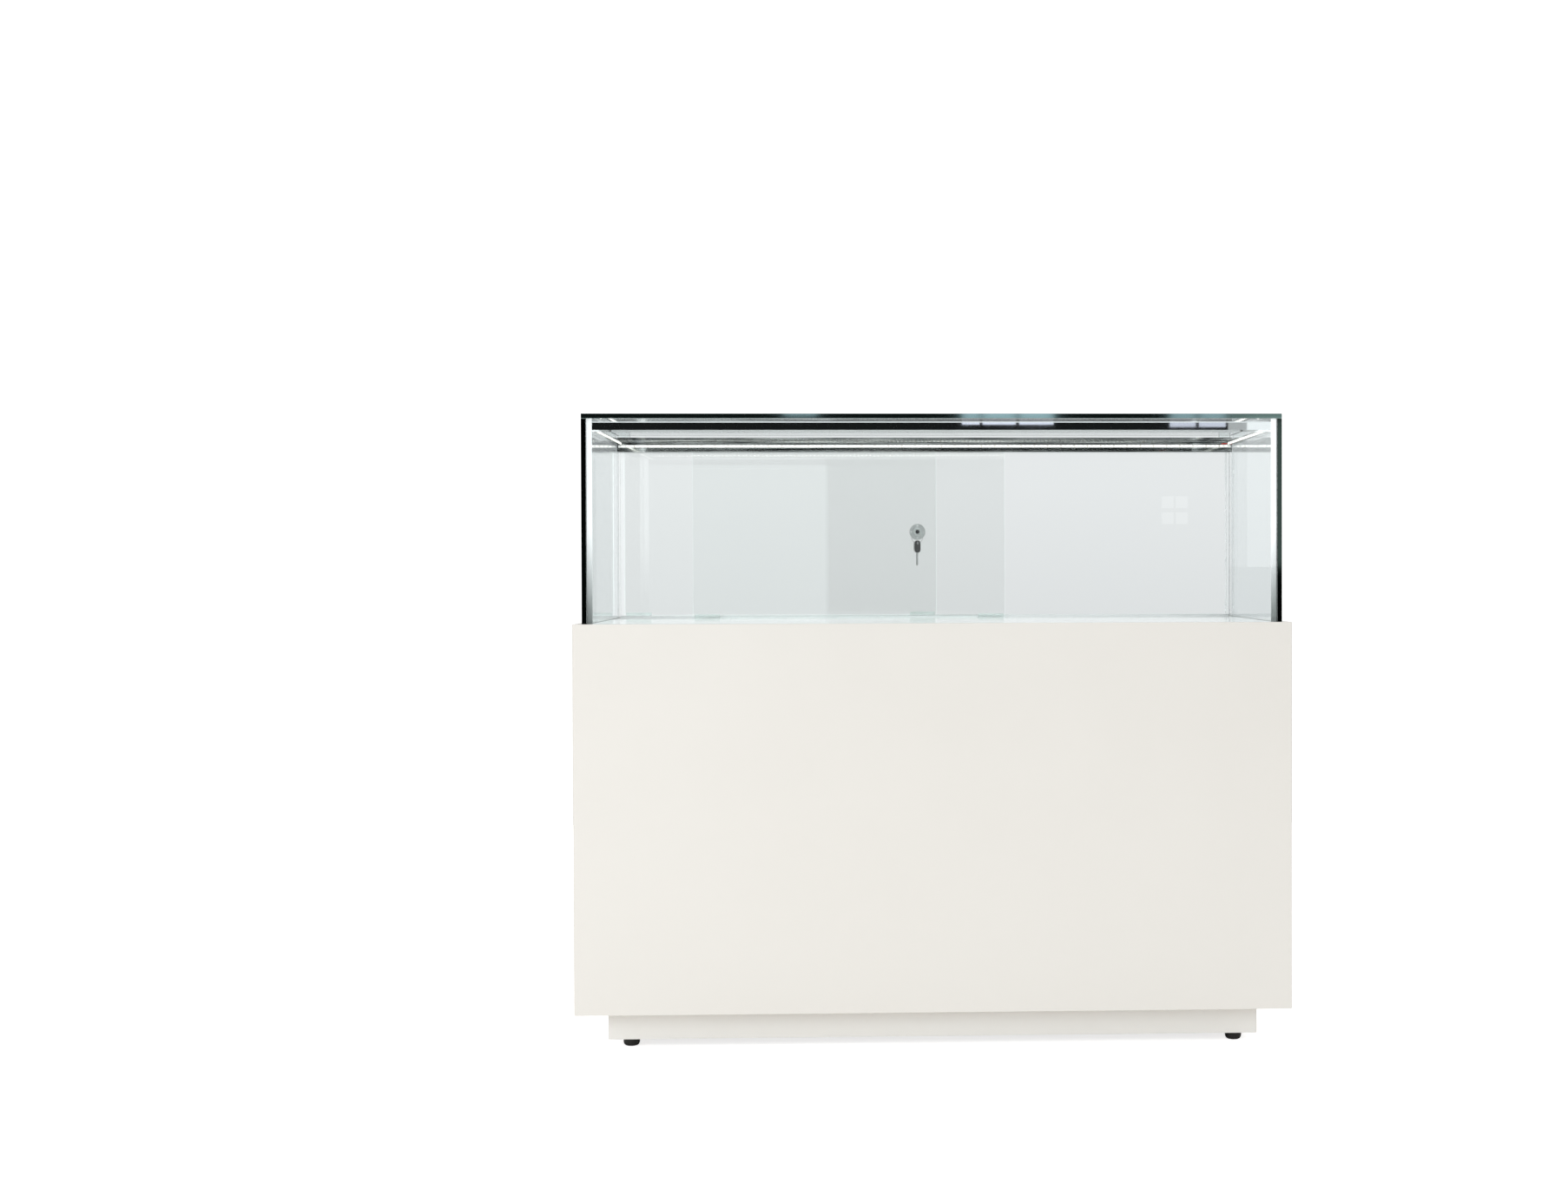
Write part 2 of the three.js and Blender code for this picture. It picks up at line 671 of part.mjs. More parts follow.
// The nut clamps the flanged housing to the glass, and the plug turns in the housing.
function buildLock() {
  const nutBack = -gap;
  const nutFront = nutBack - 3.2;
  const barrelEnd = nutFront + 0.4;
  buildLockNut(nutBack, nutFront);

  const bore = plugRadius + runningGap;
  const flange = { radius: 15, depth: 2.5, bevel: 4 };
  const housing = turned([
    [bore, barrelEnd], [lock.barrel, barrelEnd], [lock.barrel, housingFront], [flange.radius, housingFront],
    [flange.radius, housingFront + flange.depth], [flange.radius - flange.bevel, housingBack],
    [bore, housingBack], [bore, barrelEnd],
  ], 48);
  addMesh('lock_housing', toLock(housing), finishes.lockNickel);

  const plug = cylinder(plugRadius, barrelEnd + gap, housingBack, 32);
  const slotLength = bladeLength + 2;
  const slot = new THREE.BoxGeometry(keyThickness + 2 * gap, bladeWidth + 2 * gap, slotLength);
  slot.translate(0, 0, housingBack - slotLength / 2 + overshoot);
  addMesh('lock_plug', toLock(cut(plug, slot)), finishes.lockDark);
}

// The key in the lock, the ring through its bow, and the spare hanging on the ring.
function buildKeys() {
  const bowWidth = 20;
  const bowLength = 17;
  const holeOffset = 4.2;
  const bowStandOff = 0.7;
  const bowCentreY = outerDoorFront + housingBack + bowStandOff + bowLength / 2;
  const key = keyPlate(bowWidth, bowLength, bowLength / 2 + bladeLength, holeOffset, 2);
  const inserted = addMesh('key', key, finishes.keyNickel, [lock.x, bowCentreY, lock.z]);
  inserted.rotation.y = -Math.PI / 2;

  const ringRadius = 10.5;
  const ringWire = 0.8;
  const ringY = bowCentreY + holeOffset;
  const ring = new THREE.TorusGeometry(ringRadius, ringWire, 8, 40).rotateX(Math.PI / 2);
  addMesh('key_ring', ring, finishes.zincSteel, [lock.x, ringY, lock.z - ringRadius]);

  const spareBow = { width: 22, length: 23, holeOffset: 6.5 };
  const spareTip = 36;
  const spareTurn = 58;
  const spare = keyPlate(spareBow.width, spareBow.length, spareTip, spareBow.holeOffset, 4);
  const spareZ = lock.z - 2 * ringRadius - spareBow.holeOffset;
  const hanging = addMesh('spare_key', spare.rotateX(Math.PI / 2), finishes.keyNickel, [lock.x, ringY, spareZ]);
  hanging.rotation.z = THREE.MathUtils.degToRad(spareTurn);
}

// ---------------------------------------------------------------- lamp supply

const driver = { x: 330, length: 150, depth: 28, height: 42, z: 520, ease: 2 };

function buildSupply() {
  const inside = cavityBack - gap;
  block(
    'lamp_driver',
    [driver.x, inside - driver.depth, driver.z],
    [driver.x + driver.length, inside, driver.z + driver.height],
    finishes.driverCase, driver.ease,
  );
  const end = driver.x + driver.length + gap;
  const level = driver.z + driver.height / 2;
  const { x, y, radius } = supplyLead;
  const bend = 40;
  const route = new THREE.CurvePath();
  const corner = new THREE.Vector3(x, y, level);
  const top = new THREE.Vector3(x, y, lampBarTop - trackDepth - gap);
  const bendStart = new THREE.Vector3(x, y, level + bend);
  const bendEnd = new THREE.Vector3(x - bend, y, level);
  route.add(new THREE.LineCurve3(top, bendStart));
  route.add(new THREE.QuadraticBezierCurve3(bendStart, corner, bendEnd));
  route.add(new THREE.LineCurve3(bendEnd, new THREE.Vector3(end, y, level)));
  addMesh('supply_lead', wire(route, radius, 40), finishes.whiteWire);
}

// ---------------------------------------------------------------- controls on the back panel

const glandBody = { x: 370, z: 150, radius: 7.5 };
const rocker = { x: 430, z: 150, width: 13, reach: 9.6, tilt: 7, pivotDepth: 2, swingRoom: 1.1 };
const switchCase = { wall: 1.6, flange: 3, flangeThickness: 1.5, depth: 16 };
const switchHalf = {
  x: rocker.width / 2 + gap + switchCase.wall,
  z: rocker.reach + rocker.swingRoom + switchCase.wall,
};

function glandHole() {
  const hole = cylinder(glandBody.radius + gap, -panelThickness - overshoot, overshoot, 32);
  return hole.rotateX(-Math.PI / 2).translate(glandBody.x, backFace, glandBody.z);
}

function switchOpening() {
  const box = new THREE.BoxGeometry(
    2 * (switchHalf.x + gap), panelThickness + 2 * overshoot, 2 * (switchHalf.z + gap),
  );
  return box.translate(rocker.x, backFace - panelThickness / 2, rocker.z);
}

// A blind gland for the mains cord: a domed nut outside with its membrane whole, and a nut inside the body.
function buildGland() {
  const { x, z, radius } = glandBody;
  const innerNut = { radius: 11, front: -panelThickness - gap, thickness: 5 };
  const outerNut = { radius: 12, height: 3 };
  const dome = { shoulder: [9.5, 6], radius: 7, height: 9 };
  const membrane = { radius: 3.6, height: dome.height - 2 };
  const gland = turned([
    [0, innerNut.front - innerNut.thickness], [innerNut.radius, innerNut.front - innerNut.thickness],
    [innerNut.radius, innerNut.front], [radius, innerNut.front], [radius, gap],
    [outerNut.radius, gap], [outerNut.radius, outerNut.height], dome.shoulder,
    [dome.radius, dome.height], [membrane.radius, dome.height],
    [membrane.radius, membrane.height], [0, membrane.height],
  ], 24);
  addMesh('cable_gland', gland.rotateX(-Math.PI / 2), finishes.blackPlastic, [x, backFace, z]);
}

// A rocker switch for the lamps: an open case with a flange on the panel, and a rocker on a pin across it.
function buildSwitch() {
  const { x, z, width, reach, tilt, pivotDepth } = rocker;
  const { wall, flange, flangeThickness, depth } = switchCase;
  const body = new THREE.BoxGeometry(2 * switchHalf.x, depth, 2 * switchHalf.z);
  body.translate(0, -depth / 2 + gap, 0);
  const rim = new THREE.BoxGeometry(2 * (switchHalf.x + flange), flangeThickness, 2 * (switchHalf.z + flange));
  rim.translate(0, gap + flangeThickness / 2, 0);
  const well = new THREE.BoxGeometry(width + 2 * gap, depth, 2 * (switchHalf.z - wall));
  well.translate(0, wall - depth / 2 + flangeThickness + overshoot / 2, 0);
  const frame = cut(join(body, rim), well);
  addMesh('switch_case', frame, finishes.blackPlastic, [x, backFace, z]);

  // Section in (height, outward) about the pin: a keel inside, and a face that dips at the middle.
  const keel = { reach: 0.4 * reach, depth: -5.5 };
  const sideDepth = -3;
  const crown = 4.6;
  const dip = 2.9;
  const section = outline([
    [-reach, sideDepth], [-keel.reach, keel.depth], [keel.reach, keel.depth], [reach, sideDepth],
    [reach, crown], [0, dip], [-reach, crown],
  ]);
  const rockerBody = prism(section, width).translate(0, 0, -width / 2).rotateY(-Math.PI / 2);
  const mesh = addMesh('switch_rocker', rockerBody, finishes.blackPlastic, [x, backFace - pivotDepth, z]);
  mesh.rotation.x = THREE.MathUtils.degToRad(tilt);
}

buildBody();
buildPlinth();
buildFeet();
buildLedge();
buildDeck();
buildHood();
buildLampBars();
buildBottomTrack();
buildTopTrack();
buildJambs();
buildDoors();
buildLock();
buildKeys();
buildSupply();
buildGland();
buildSwitch();

export default displayCase;
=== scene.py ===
"""Looks of the glass display case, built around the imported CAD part. Blender 4.5, metres, +Z up.

The front of the case faces -Y and the sliding doors are on the +Y side.
"""

import json
import math

import bmesh
import bpy
from mathutils import Matrix, Vector


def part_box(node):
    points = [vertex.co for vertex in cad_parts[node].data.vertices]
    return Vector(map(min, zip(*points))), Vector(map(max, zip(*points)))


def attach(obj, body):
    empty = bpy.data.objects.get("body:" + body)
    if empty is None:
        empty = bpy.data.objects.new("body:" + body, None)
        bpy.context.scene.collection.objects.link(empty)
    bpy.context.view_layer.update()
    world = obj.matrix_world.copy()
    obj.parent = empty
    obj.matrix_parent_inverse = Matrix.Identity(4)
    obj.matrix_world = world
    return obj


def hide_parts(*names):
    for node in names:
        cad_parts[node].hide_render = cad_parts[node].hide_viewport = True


MM = 0.001

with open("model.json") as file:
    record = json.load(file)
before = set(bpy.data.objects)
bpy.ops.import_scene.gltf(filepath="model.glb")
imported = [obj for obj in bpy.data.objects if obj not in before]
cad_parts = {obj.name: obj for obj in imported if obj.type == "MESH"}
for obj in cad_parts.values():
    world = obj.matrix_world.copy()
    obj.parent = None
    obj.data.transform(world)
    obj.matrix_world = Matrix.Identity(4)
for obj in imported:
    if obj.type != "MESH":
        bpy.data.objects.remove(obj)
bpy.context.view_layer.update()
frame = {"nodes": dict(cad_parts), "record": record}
nodes = frame["nodes"]
scene = bpy.context.scene


# ------------------------------------------------------------------ camera, floor and light

CAMERA_PLACE = Vector((-0.112, -3.650, 0.807))
CAMERA_YAW = 2.08        # degrees to the right of straight ahead
CAMERA_PITCH = 0.83      # degrees down
CAMERA_ROLL = 0.15
CAMERA_LENS = 46.9
CAMERA_SENSOR = 36.0
CAMERA_SHIFT = (-0.1002, 0.0039)


def add_camera():
    """The camera of the photograph."""
    data = bpy.data.cameras.new("camera")
    data.lens = CAMERA_LENS
    data.sensor_width = CAMERA_SENSOR
    data.shift_x, data.shift_y = CAMERA_SHIFT
    data.clip_end = 100
    camera = bpy.data.objects.new("camera", data)
    scene.collection.objects.link(camera)
    camera.location = CAMERA_PLACE
    turn = Matrix.Rotation(-math.radians(CAMERA_YAW), 4, "Z")
    tilt = Matrix.Rotation(math.radians(90 - CAMERA_PITCH), 4, "X")
    roll = Matrix.Rotation(-math.radians(CAMERA_ROLL), 4, "Z")
    camera.rotation_euler = (turn @ tilt @ roll).to_euler()
    scene.camera = camera


def add_area_light(name, place, target, size, power, colour=(1, 1, 1)):
    """A soft light that shows in no reflection."""
    data = bpy.data.lights.new(name, "AREA")
    data.shape = "RECTANGLE"
    data.size, data.size_y = size
    data.energy = power
    data.color = colour
    light = bpy.data.objects.new(name, data)
    scene.collection.objects.link(light)
    light.location = place
    light.rotation_euler = (Vector(target) - Vector(place)).to_track_quat("-Z", "Y").to_euler()
    light.visible_camera = False
    light.visible_glossy = False
    light.visible_transmission = False


def add_lights():
    """A key light from the left, the lamps' own light in the chamber, and a fill for the plinth."""
    add_area_light("key", (-2.7, -2.2, 0.95), (-0.2, 0, 0.55), (1.2, 1.2), 18)
    add_area_light("lamp_wash", (0, 0, 1.045), (0, 0, 0.7), (1.1, 0.38), 1.1, (1, 0.99, 0.96))
    add_area_light("low_fill", (-0.1, -2.0, 0.08), (0, 0, 0.05), (2.4, 0.14), 2.8)


ROOM_WALL = -9.65        # the wall of the room behind the camera, which the glass and metal mirror


def glow_in_reflections(name, radiance, colour):
    """A material that glows where a mirrored ray meets it, and that other rays pass through."""
    material = bpy.data.materials.new(name)
    material.use_nodes = True
    material.cycles.emission_sampling = "NONE"
    tree = material.node_tree
    tree.nodes.remove(tree.nodes["Principled BSDF"])
    path = tree.nodes.new("ShaderNodeLightPath")
    unseen = tree.nodes.new("ShaderNodeBsdfTransparent")
    glow = tree.nodes.new("ShaderNodeEmission")
    glow.inputs["Color"].default_value = (*colour, 1)
    glow.inputs["Strength"].default_value = radiance
    mirrored = math_node(tree, "GREATER_THAN", path.outputs["Glossy Depth"], 0.5)
    chosen = mix_shaders(tree, mirrored, unseen.outputs[0], glow.outputs[0])
    tree.links.new(chosen, tree.nodes["Material Output"].inputs["Surface"])
    return material


def add_reflected_card(name, left, right, bottom, top, radiance, colour=(1, 1, 1), nearer=0.0):
    """A bright patch on the wall behind the camera. It shows in reflections only."""
    place = ROOM_WALL + nearer
    mesh = bpy.data.meshes.new(name)
    corners = [(left, place, bottom), (right, place, bottom), (right, place, top), (left, place, top)]
    mesh.from_pydata(corners, [], [(0, 1, 2, 3)])
    mesh.materials.append(glow_in_reflections(name, radiance, colour))
    card = bpy.data.objects.new(name, mesh)
    scene.collection.objects.link(card)


def add_room():
    """What stands behind the camera: three windows, a small far window, a pale wall each side."""
    cool = (0.86, 0.87, 1.0)
    top = 2.6
    wall_top = 1.735
    add_reflected_card("window_right_a", 1.80, 1.965, 1.692, top, 0.85, cool)
    add_reflected_card("window_right_b", 1.985, 2.155, 1.692, top, 0.85, cool)
    for index, (left, right) in enumerate(((0.488, 0.600), (0.618, 0.828), (0.848, 1.066))):
        add_reflected_card(f"window_middle_{index}", left, right, 1.707, top, 1.1, cool)
    add_reflected_card("window_left", -0.63, -0.42, 1.768, top, 1.1, cool)
    pane = 0.075
    for row, bottom in enumerate((1.08, 1.18)):
        for column, left in enumerate((1.745, 1.835)):
            name = f"far_pane_{row}_{column}"
            add_reflected_card(name, left, left + pane, bottom, bottom + pane, 0.72, nearer=0.02)
    add_reflected_card("wall_left", -1.8, -0.37, -0.6, 1.5, 0.58)
    add_reflected_card("wall_middle", -0.37, 2.17, -0.6, 1.5, 0.12)
    add_reflected_card("pillar_right", 2.17, 2.29, 0.81, wall_top, 0.5)
    add_reflected_card("wall_right", 2.29, 4.2, 0.81, wall_top, 1.1)
    add_reflected_card("frieze_right", 2.17, 4.2, wall_top, top, 0.28)


def add_world():
    """A white studio. Reflections see it darker on the camera's side, up to where the ceiling begins."""
    world = bpy.data.worlds.new("studio")
    scene.world = world
    world.use_nodes = True
    tree = world.node_tree
    background = tree.nodes["Background"]
    coordinates = tree.nodes.new("ShaderNodeTexCoord")
    split = tree.nodes.new("ShaderNodeSeparateXYZ")
    tree.links.new(coordinates.outputs["Generated"], split.inputs[0])

    # From the ground to the zenith, as (share of the height, brightness).
    stops = ((0.48, 0.84), (0.52, 0.93), (0.65, 1.0), (1.0, 1.0))
    sky = tree.nodes.new("ShaderNodeValToRGB")
    while len(sky.color_ramp.elements) < len(stops):
        sky.color_ramp.elements.new(0.5)
    for element, (place, level) in zip(sky.color_ramp.elements, stops):
        element.position = place
        element.color = (level, level, level, 1)
    height = map_range(tree, split.outputs["Z"], -1, 1, 0, 1)
    tree.links.new(height, sky.inputs["Fac"])

    # The unlit room on the camera's side, which only mirrored rays see.
    beside = map_range(tree, split.outputs["Y"], -0.35, 0.1, 0, 1)
    above = map_range(tree, split.outputs["Z"], 0.11, 0.26, 0, 1)
    lit = math_node(tree, "MAXIMUM", beside, above)
    room = mix_colours(tree, lit, (0.012, 0.013, 0.013), (1, 1, 1))
    mirrored = mix_colours(tree, 1.0, sky.outputs["Color"], room, "MULTIPLY")

    path = tree.nodes.new("ShaderNodeLightPath")
    bounced = math_node(tree, "GREATER_THAN", path.outputs["Glossy Depth"], 0.5)
    chosen = mix_colours(tree, bounced, sky.outputs["Color"], mirrored)
    tree.links.new(chosen, background.inputs["Color"])
    strength = map_range(tree, path.outputs["Is Camera Ray"], 0, 1, 1.0, 1.3)
    tree.links.new(strength, background.inputs["Strength"])


def add_floor():
    """A round white floor. The camera sees it a little brighter than the light it gives back."""
    radius = 3.0
    sides = 96
    mesh = bpy.data.meshes.new("floor")
    angles = [2 * math.pi * side / sides for side in range(sides)]
    rim = [(radius * math.cos(angle), radius * math.sin(angle), 0) for angle in angles]
    mesh.from_pydata(rim, [], [tuple(range(sides))])
    floor = bpy.data.objects.new("floor", mesh)
    scene.collection.objects.link(floor)
    material, shader = new_material("studio_floor", (0.86, 0.86, 0.86), 0.9)
    tree = material.node_tree
    path = tree.nodes.new("ShaderNodeLightPath")
    glow = math_node(tree, "MULTIPLY", path.outputs["Is Camera Ray"], 0.75)
    shader.inputs["Emission Color"].default_value = (1, 1, 1, 1)
    shader.inputs["Specular IOR Level"].default_value = 0.0
    tree.links.new(glow, shader.inputs["Emission Strength"])
    mesh.materials.append(material)


# ------------------------------------------------------------------ material helpers

def new_material(name, colour, roughness, metallic=0.0):
    """A material with one Principled shader. Returns the material and the shader node."""
    material = bpy.data.materials.new(name)
    material.use_nodes = True
    material.diffuse_color = (*colour, 1)
    shader = material.node_tree.nodes["Principled BSDF"]
    shader.inputs["Base Color"].default_value = (*colour, 1)
    shader.inputs["Roughness"].default_value = roughness
    shader.inputs["Metallic"].default_value = metallic
    return material, shader


def feed(tree, socket, value):
    """Feeds an input with another node's socket, a number or a colour."""
    if isinstance(value, bpy.types.NodeSocket):
        tree.links.new(value, socket)
    elif isinstance(value, tuple):
        socket.default_value = (*value, 1)
    else:
        socket.default_value = value


def math_node(tree, operation, *values):
    """A Math node. Each value is a socket or a number."""
    node = tree.nodes.new("ShaderNodeMath")
    node.operation = operation
    for socket, value in zip(node.inputs, values):
        feed(tree, socket, value)
    return node.outputs[0]


def mix_colours(tree, factor, first, second, blend="MIX"):
    """Blends two colours by a factor. Each of the three is a socket or a value."""
    mix = tree.nodes.new("ShaderNodeMix")
    mix.data_type = "RGBA"
    mix.blend_type = blend
    feed(tree, mix.inputs["Factor"], factor)
    feed(tree, mix.inputs["A"], first)
    feed(tree, mix.inputs["B"], second)
    return mix.outputs["Result"]


def mix_shaders(tree, factor, first, second):
    """Blends two shaders by a factor, which is a socket."""
    mix = tree.nodes.new("ShaderNodeMixShader")
    tree.links.new(factor, mix.inputs["Fac"])
    tree.links.new(first, mix.inputs[1])
    tree.links.new(second, mix.inputs[2])
    return mix.outputs[0]


def map_range(tree, value, from_low, from_high, to_low, to_high):
    """Maps a socket's values from one range to another, and holds them at its ends."""
    node = tree.nodes.new("ShaderNodeMapRange")
    node.inputs["From Min"].default_value = from_low
    node.inputs["From Max"].default_value = from_high
    node.inputs["To Min"].default_value = to_low
    node.inputs["To Max"].default_value = to_high
    tree.links.new(value, node.inputs["Value"])
    return node.outputs["Result"]


def object_noise(tree, scale, detail=3.0, stretch=(1, 1, 1)):
    """Noise in the part's own frame, scale in waves per metre, stretched per axis."""
    coordinates = tree.nodes.new("ShaderNodeTexCoord")
    mapping = tree.nodes.new("ShaderNodeMapping")
    mapping.inputs["Scale"].default_value = stretch
    noise = tree.nodes.new("ShaderNodeTexNoise")
    noise.inputs["Scale"].default_value = scale
    noise.inputs["Detail"].default_value = detail
    tree.links.new(coordinates.outputs["Object"], mapping.inputs["Vector"])
    tree.links.new(mapping.outputs["Vector"], noise.inputs["Vector"])
    return noise.outputs["Fac"]


def spread(tree, factor, low, high):
    """Spreads noise, whose values lie mostly near 0.5, over low to high."""
    return map_range(tree, factor, 0.3, 0.7, low, high)


def vary_colour(material, shader, scale, first, second, stretch=(1, 1, 1), detail=3.0):
    """Clouds the base colour between two colours."""
    tree = material.node_tree
    factor = spread(tree, object_noise(tree, scale, detail, stretch), 0, 1)
    tree.links.new(mix_colours(tree, factor, first, second), shader.inputs["Base Color"])


def vary_roughness(material, shader, scale, low, high, stretch=(1, 1, 1)):
    """Clouds the roughness between two values."""
    tree = material.node_tree
    factor = object_noise(tree, scale, 4.0, stretch)
    tree.links.new(spread(tree, factor, low, high), shader.inputs["Roughness"])


def add_bump(material, shader, scale, height, stretch=(1, 1, 1), detail=2.0):
    """Fine relief of the given height in metres."""
    tree = material.node_tree
    bump = tree.nodes.new("ShaderNodeBump")
    bump.inputs["Strength"].default_value = 1.0
    bump.inputs["Distance"].default_value = height
    tree.links.new(object_noise(tree, scale, detail, stretch), bump.inputs["Height"])
    tree.links.new(bump.outputs["Normal"], shader.inputs["Normal"])


def facing_mask(tree, axis):
    """1 where a surface faces along the axis (0, 1 or 2), either way, and 0 where it faces across it."""
    geometry = tree.nodes.new("ShaderNodeNewGeometry")
    split = tree.nodes.new("ShaderNodeSeparateXYZ")
    tree.links.new(geometry.outputs["True Normal"], split.inputs[0])
    size = math_node(tree, "ABSOLUTE", split.outputs[axis])
    return map_range(tree, size, 0.8, 0.9, 0, 1)


def set_glow(shader, strength, colour=(1, 1, 1)):
    """Makes a surface give out a little light, the same all over."""
    shader.inputs["Emission Color"].default_value = (*colour, 1)
    shader.inputs["Emission Strength"].default_value = strength


def set_clear(shader, weight, index):
    """Lets light through a surface. The weight is the share that passes."""
    shader.inputs["Transmission Weight"].default_value = weight
    shader.inputs["IOR"].default_value = index


# ------------------------------------------------------------------ materials

def lacquer(name, low, high):
    """White satin lacquer on fibreboard, with the faint orange peel of a sprayed coat."""
    material, shader = new_material(name, low, 0.42)
    vary_colour(material, shader, 2.2, low, high)
    vary_roughness(material, shader, 9, 0.38, 0.48)
    add_bump(material, shader, 260, 0.00003, detail=2)
    return material


def gloss_deck():
    """The chamber's white floor, glossy enough to mirror the lock and the lamps."""
    material, shader = new_material("gloss_deck", (0.86, 0.88, 0.87), 0.07)
    vary_colour(material, shader, 4, (0.855, 0.874, 0.866), (0.868, 0.884, 0.878))
    vary_roughness(material, shader, 14, 0.05, 0.1)
    add_bump(material, shader, 40, 0.00002, detail=1)
    return material


def raw_board():
    """Fibreboard: short pressed fibres in a dense brown ground."""
    material, shader = new_material("raw_board", (0.42, 0.3, 0.18), 0.85)
    vary_colour(material, shader, 420, (0.33, 0.22, 0.12), (0.52, 0.38, 0.24), (1, 1, 0.35), detail=6)
    add_bump(material, shader, 700, 0.0002, detail=5)
    return material


def let_lamps_through(material, shader):
    """Lets shadow rays pass straight through the glass, as caustics would otherwise be missing."""
    tree = material.node_tree
    path = tree.nodes.new("ShaderNodeLightPath")
    clear = tree.nodes.new("ShaderNodeBsdfTransparent")
    clear.inputs["Color"].default_value = (0.98, 0.99, 0.985, 1)
    glass = mix_shaders(tree, path.outputs["Is Shadow Ray"], shader.outputs[0], clear.outputs[0])
    tree.links.new(glass, tree.nodes["Material Output"].inputs["Surface"])
    return glass


def pane_glass(name, tint, axis, edge_colour, edge_roughness, painted_edge_glow=0.0):
    """A pane that is thin along the axis: clear through its faces, coloured along its polished edges.

    The glow is painted light: a bright edge standing for lamp light that a pane carries to its edge.
    """
    material, shader = new_material(name, tint, 0.0)
    set_clear(shader, 1.0, 1.5)
    tree = material.node_tree
    glass = let_lamps_through(material, shader)
    edge = tree.nodes.new("ShaderNodeBsdfPrincipled")
    edge.inputs["Base Color"].default_value = (*edge_colour, 1)
    edge.inputs["Metallic"].default_value = 1.0
    edge.inputs["Roughness"].default_value = edge_roughness
    # Painted light along the edge, wherever the edge glow is above zero.
    set_glow(edge, painted_edge_glow, (0.95, 1, 0.98))
    pane = mix_shaders(tree, facing_mask(tree, axis), edge.outputs[0], glass)
    tree.links.new(pane, tree.nodes["Material Output"].inputs["Surface"])
    return material


def clear_acrylic():
    """The clear blocks between the lamp bars and the top pane."""
    material, shader = new_material("clear_block", (0.9, 0.95, 0.94), 0.05)
    set_clear(shader, 1.0, 1.49)
    let_lamps_through(material, shader)
    return material


def mirror_bar(name, wave):
    """Polished aluminium profile that mirrors the room, slightly wavy along its length."""
    material, shader = new_material(name, (0.93, 0.935, 0.94), 0.02, metallic=1.0)
    vary_roughness(material, shader, 40, 0.01, 0.022, stretch=(0.2, 0.2, 1))
    add_bump(material, shader, 4, wave, detail=1)
    return material


def painted_reflection_bar(name, stretch):
    """Polished aluminium with long dark and light streaks in its base colour: a painted reflection of the
    room in its uneven face.
    """
    material, shader = new_material(name, (0.6, 0.62, 0.62), 0.06, metallic=1.0)
    # Painted reflection: the base colour runs in dark and light streaks along the bar.
    vary_colour(material, shader, 4, (0.04, 0.05, 0.05), (0.85, 0.88, 0.87), stretch=stretch, detail=2)
    vary_roughness(material, shader, 40, 0.03, 0.08, stretch=(0.2, 0.2, 1))
    add_bump(material, shader, 4, 0.0006, detail=1)
    return material


def painted_light_bead():
    """The bright angle in each front corner, with painted light: palest and glowing near the lamps, painted
    darker further down.
    """
    material, shader = new_material("painted_light_bead", (0.9, 0.92, 0.91), 0.25)
    tree = material.node_tree
    coordinates = tree.nodes.new("ShaderNodeTexCoord")
    split = tree.nodes.new("ShaderNodeSeparateXYZ")
    tree.links.new(coordinates.outputs["Object"], split.inputs[0])
    # Painted light and shade: the colour runs from dark low down to pale near the lamps.
    height = map_range(tree, split.outputs["Z"], 0.72, 0.86, 0, 1)
    colour = mix_colours(tree, height, (0.45, 0.48, 0.47), (0.97, 0.98, 0.98))
    tree.links.new(colour, shader.inputs["Base Color"])
    vary_roughness(material, shader, 25, 0.2, 0.3, stretch=(1, 1, 0.1))
    # Painted lamp light: a glow that grows towards the lamps.
    shader.inputs["Emission Color"].default_value = (1, 1, 1, 1)
    glow = map_range(tree, split.outputs["Z"], 0.74, 0.88, 0.05, 0.7)
    tree.links.new(glow, shader.inputs["Emission Strength"])
    return material


def satin_aluminium():
    """Pale anodised extrusion with the die's fine lines along X."""
    material, shader = new_material("satin_aluminium", (0.93, 0.94, 0.94), 0.35, metallic=0.05)
    vary_colour(material, shader, 500, (0.91, 0.92, 0.92), (0.96, 0.97, 0.97), stretch=(0.02, 1, 1))
    vary_roughness(material, shader, 300, 0.25, 0.38, stretch=(0.02, 1, 1))
    add_bump(material, shader, 900, 0.00002, stretch=(0.01, 1, 1))
    return material


def smooth_plastic(name, colour, roughness, grain=0.00002):
    """Moulded plastic with a fine grain and a little unevenness in its gloss."""
    material, shader = new_material(name, colour, roughness)
    paler = tuple(min(1.0, part * 1.08 + 0.002) for part in colour)
    vary_colour(material, shader, 30, colour, paler)
    vary_roughness(material, shader, 45, roughness * 0.85, roughness * 1.15)
    add_bump(material, shader, 2200, grain)
    return material


def cloudy_plastic(name, colour, roughness, clearness, index, glow):
    """Plastic that lets the light behind it through, blurred. The glow is painted light, standing for light
    piped along it.
    """
    material = smooth_plastic(name, colour, roughness)
    shader = material.node_tree.nodes["Principled BSDF"]
    set_clear(shader, clearness, index)
    # Painted light: an even glow over the whole part.
    set_glow(shader, glow)
    return material


def brushed_metal(name, colour, roughness, scratch=0.00002, metallic=1.0):
    """Plated metal with fine handling scratches."""
    material, shader = new_material(name, colour, roughness, metallic)
    darker = tuple(part * 0.8 for part in colour)
    vary_colour(material, shader, 350, darker, colour, detail=5)
    vary_roughness(material, shader, 500, roughness * 0.7, roughness * 1.4, stretch=(1, 1, 4))
    add_bump(material, shader, 1500, scratch, stretch=(1, 1, 5), detail=4)
    return material


def pin_with_painted_highlight():
    """Bright steel with a painted highlight: an even glow for the lamps it catches."""
    material, shader = new_material("pin_steel", (0.97, 0.98, 0.98), 0.15, metallic=0.2)
    vary_roughness(material, shader, 900, 0.1, 0.25)
    # Painted highlight: the pins glow evenly.
    set_glow(shader, 0.35)
    return material


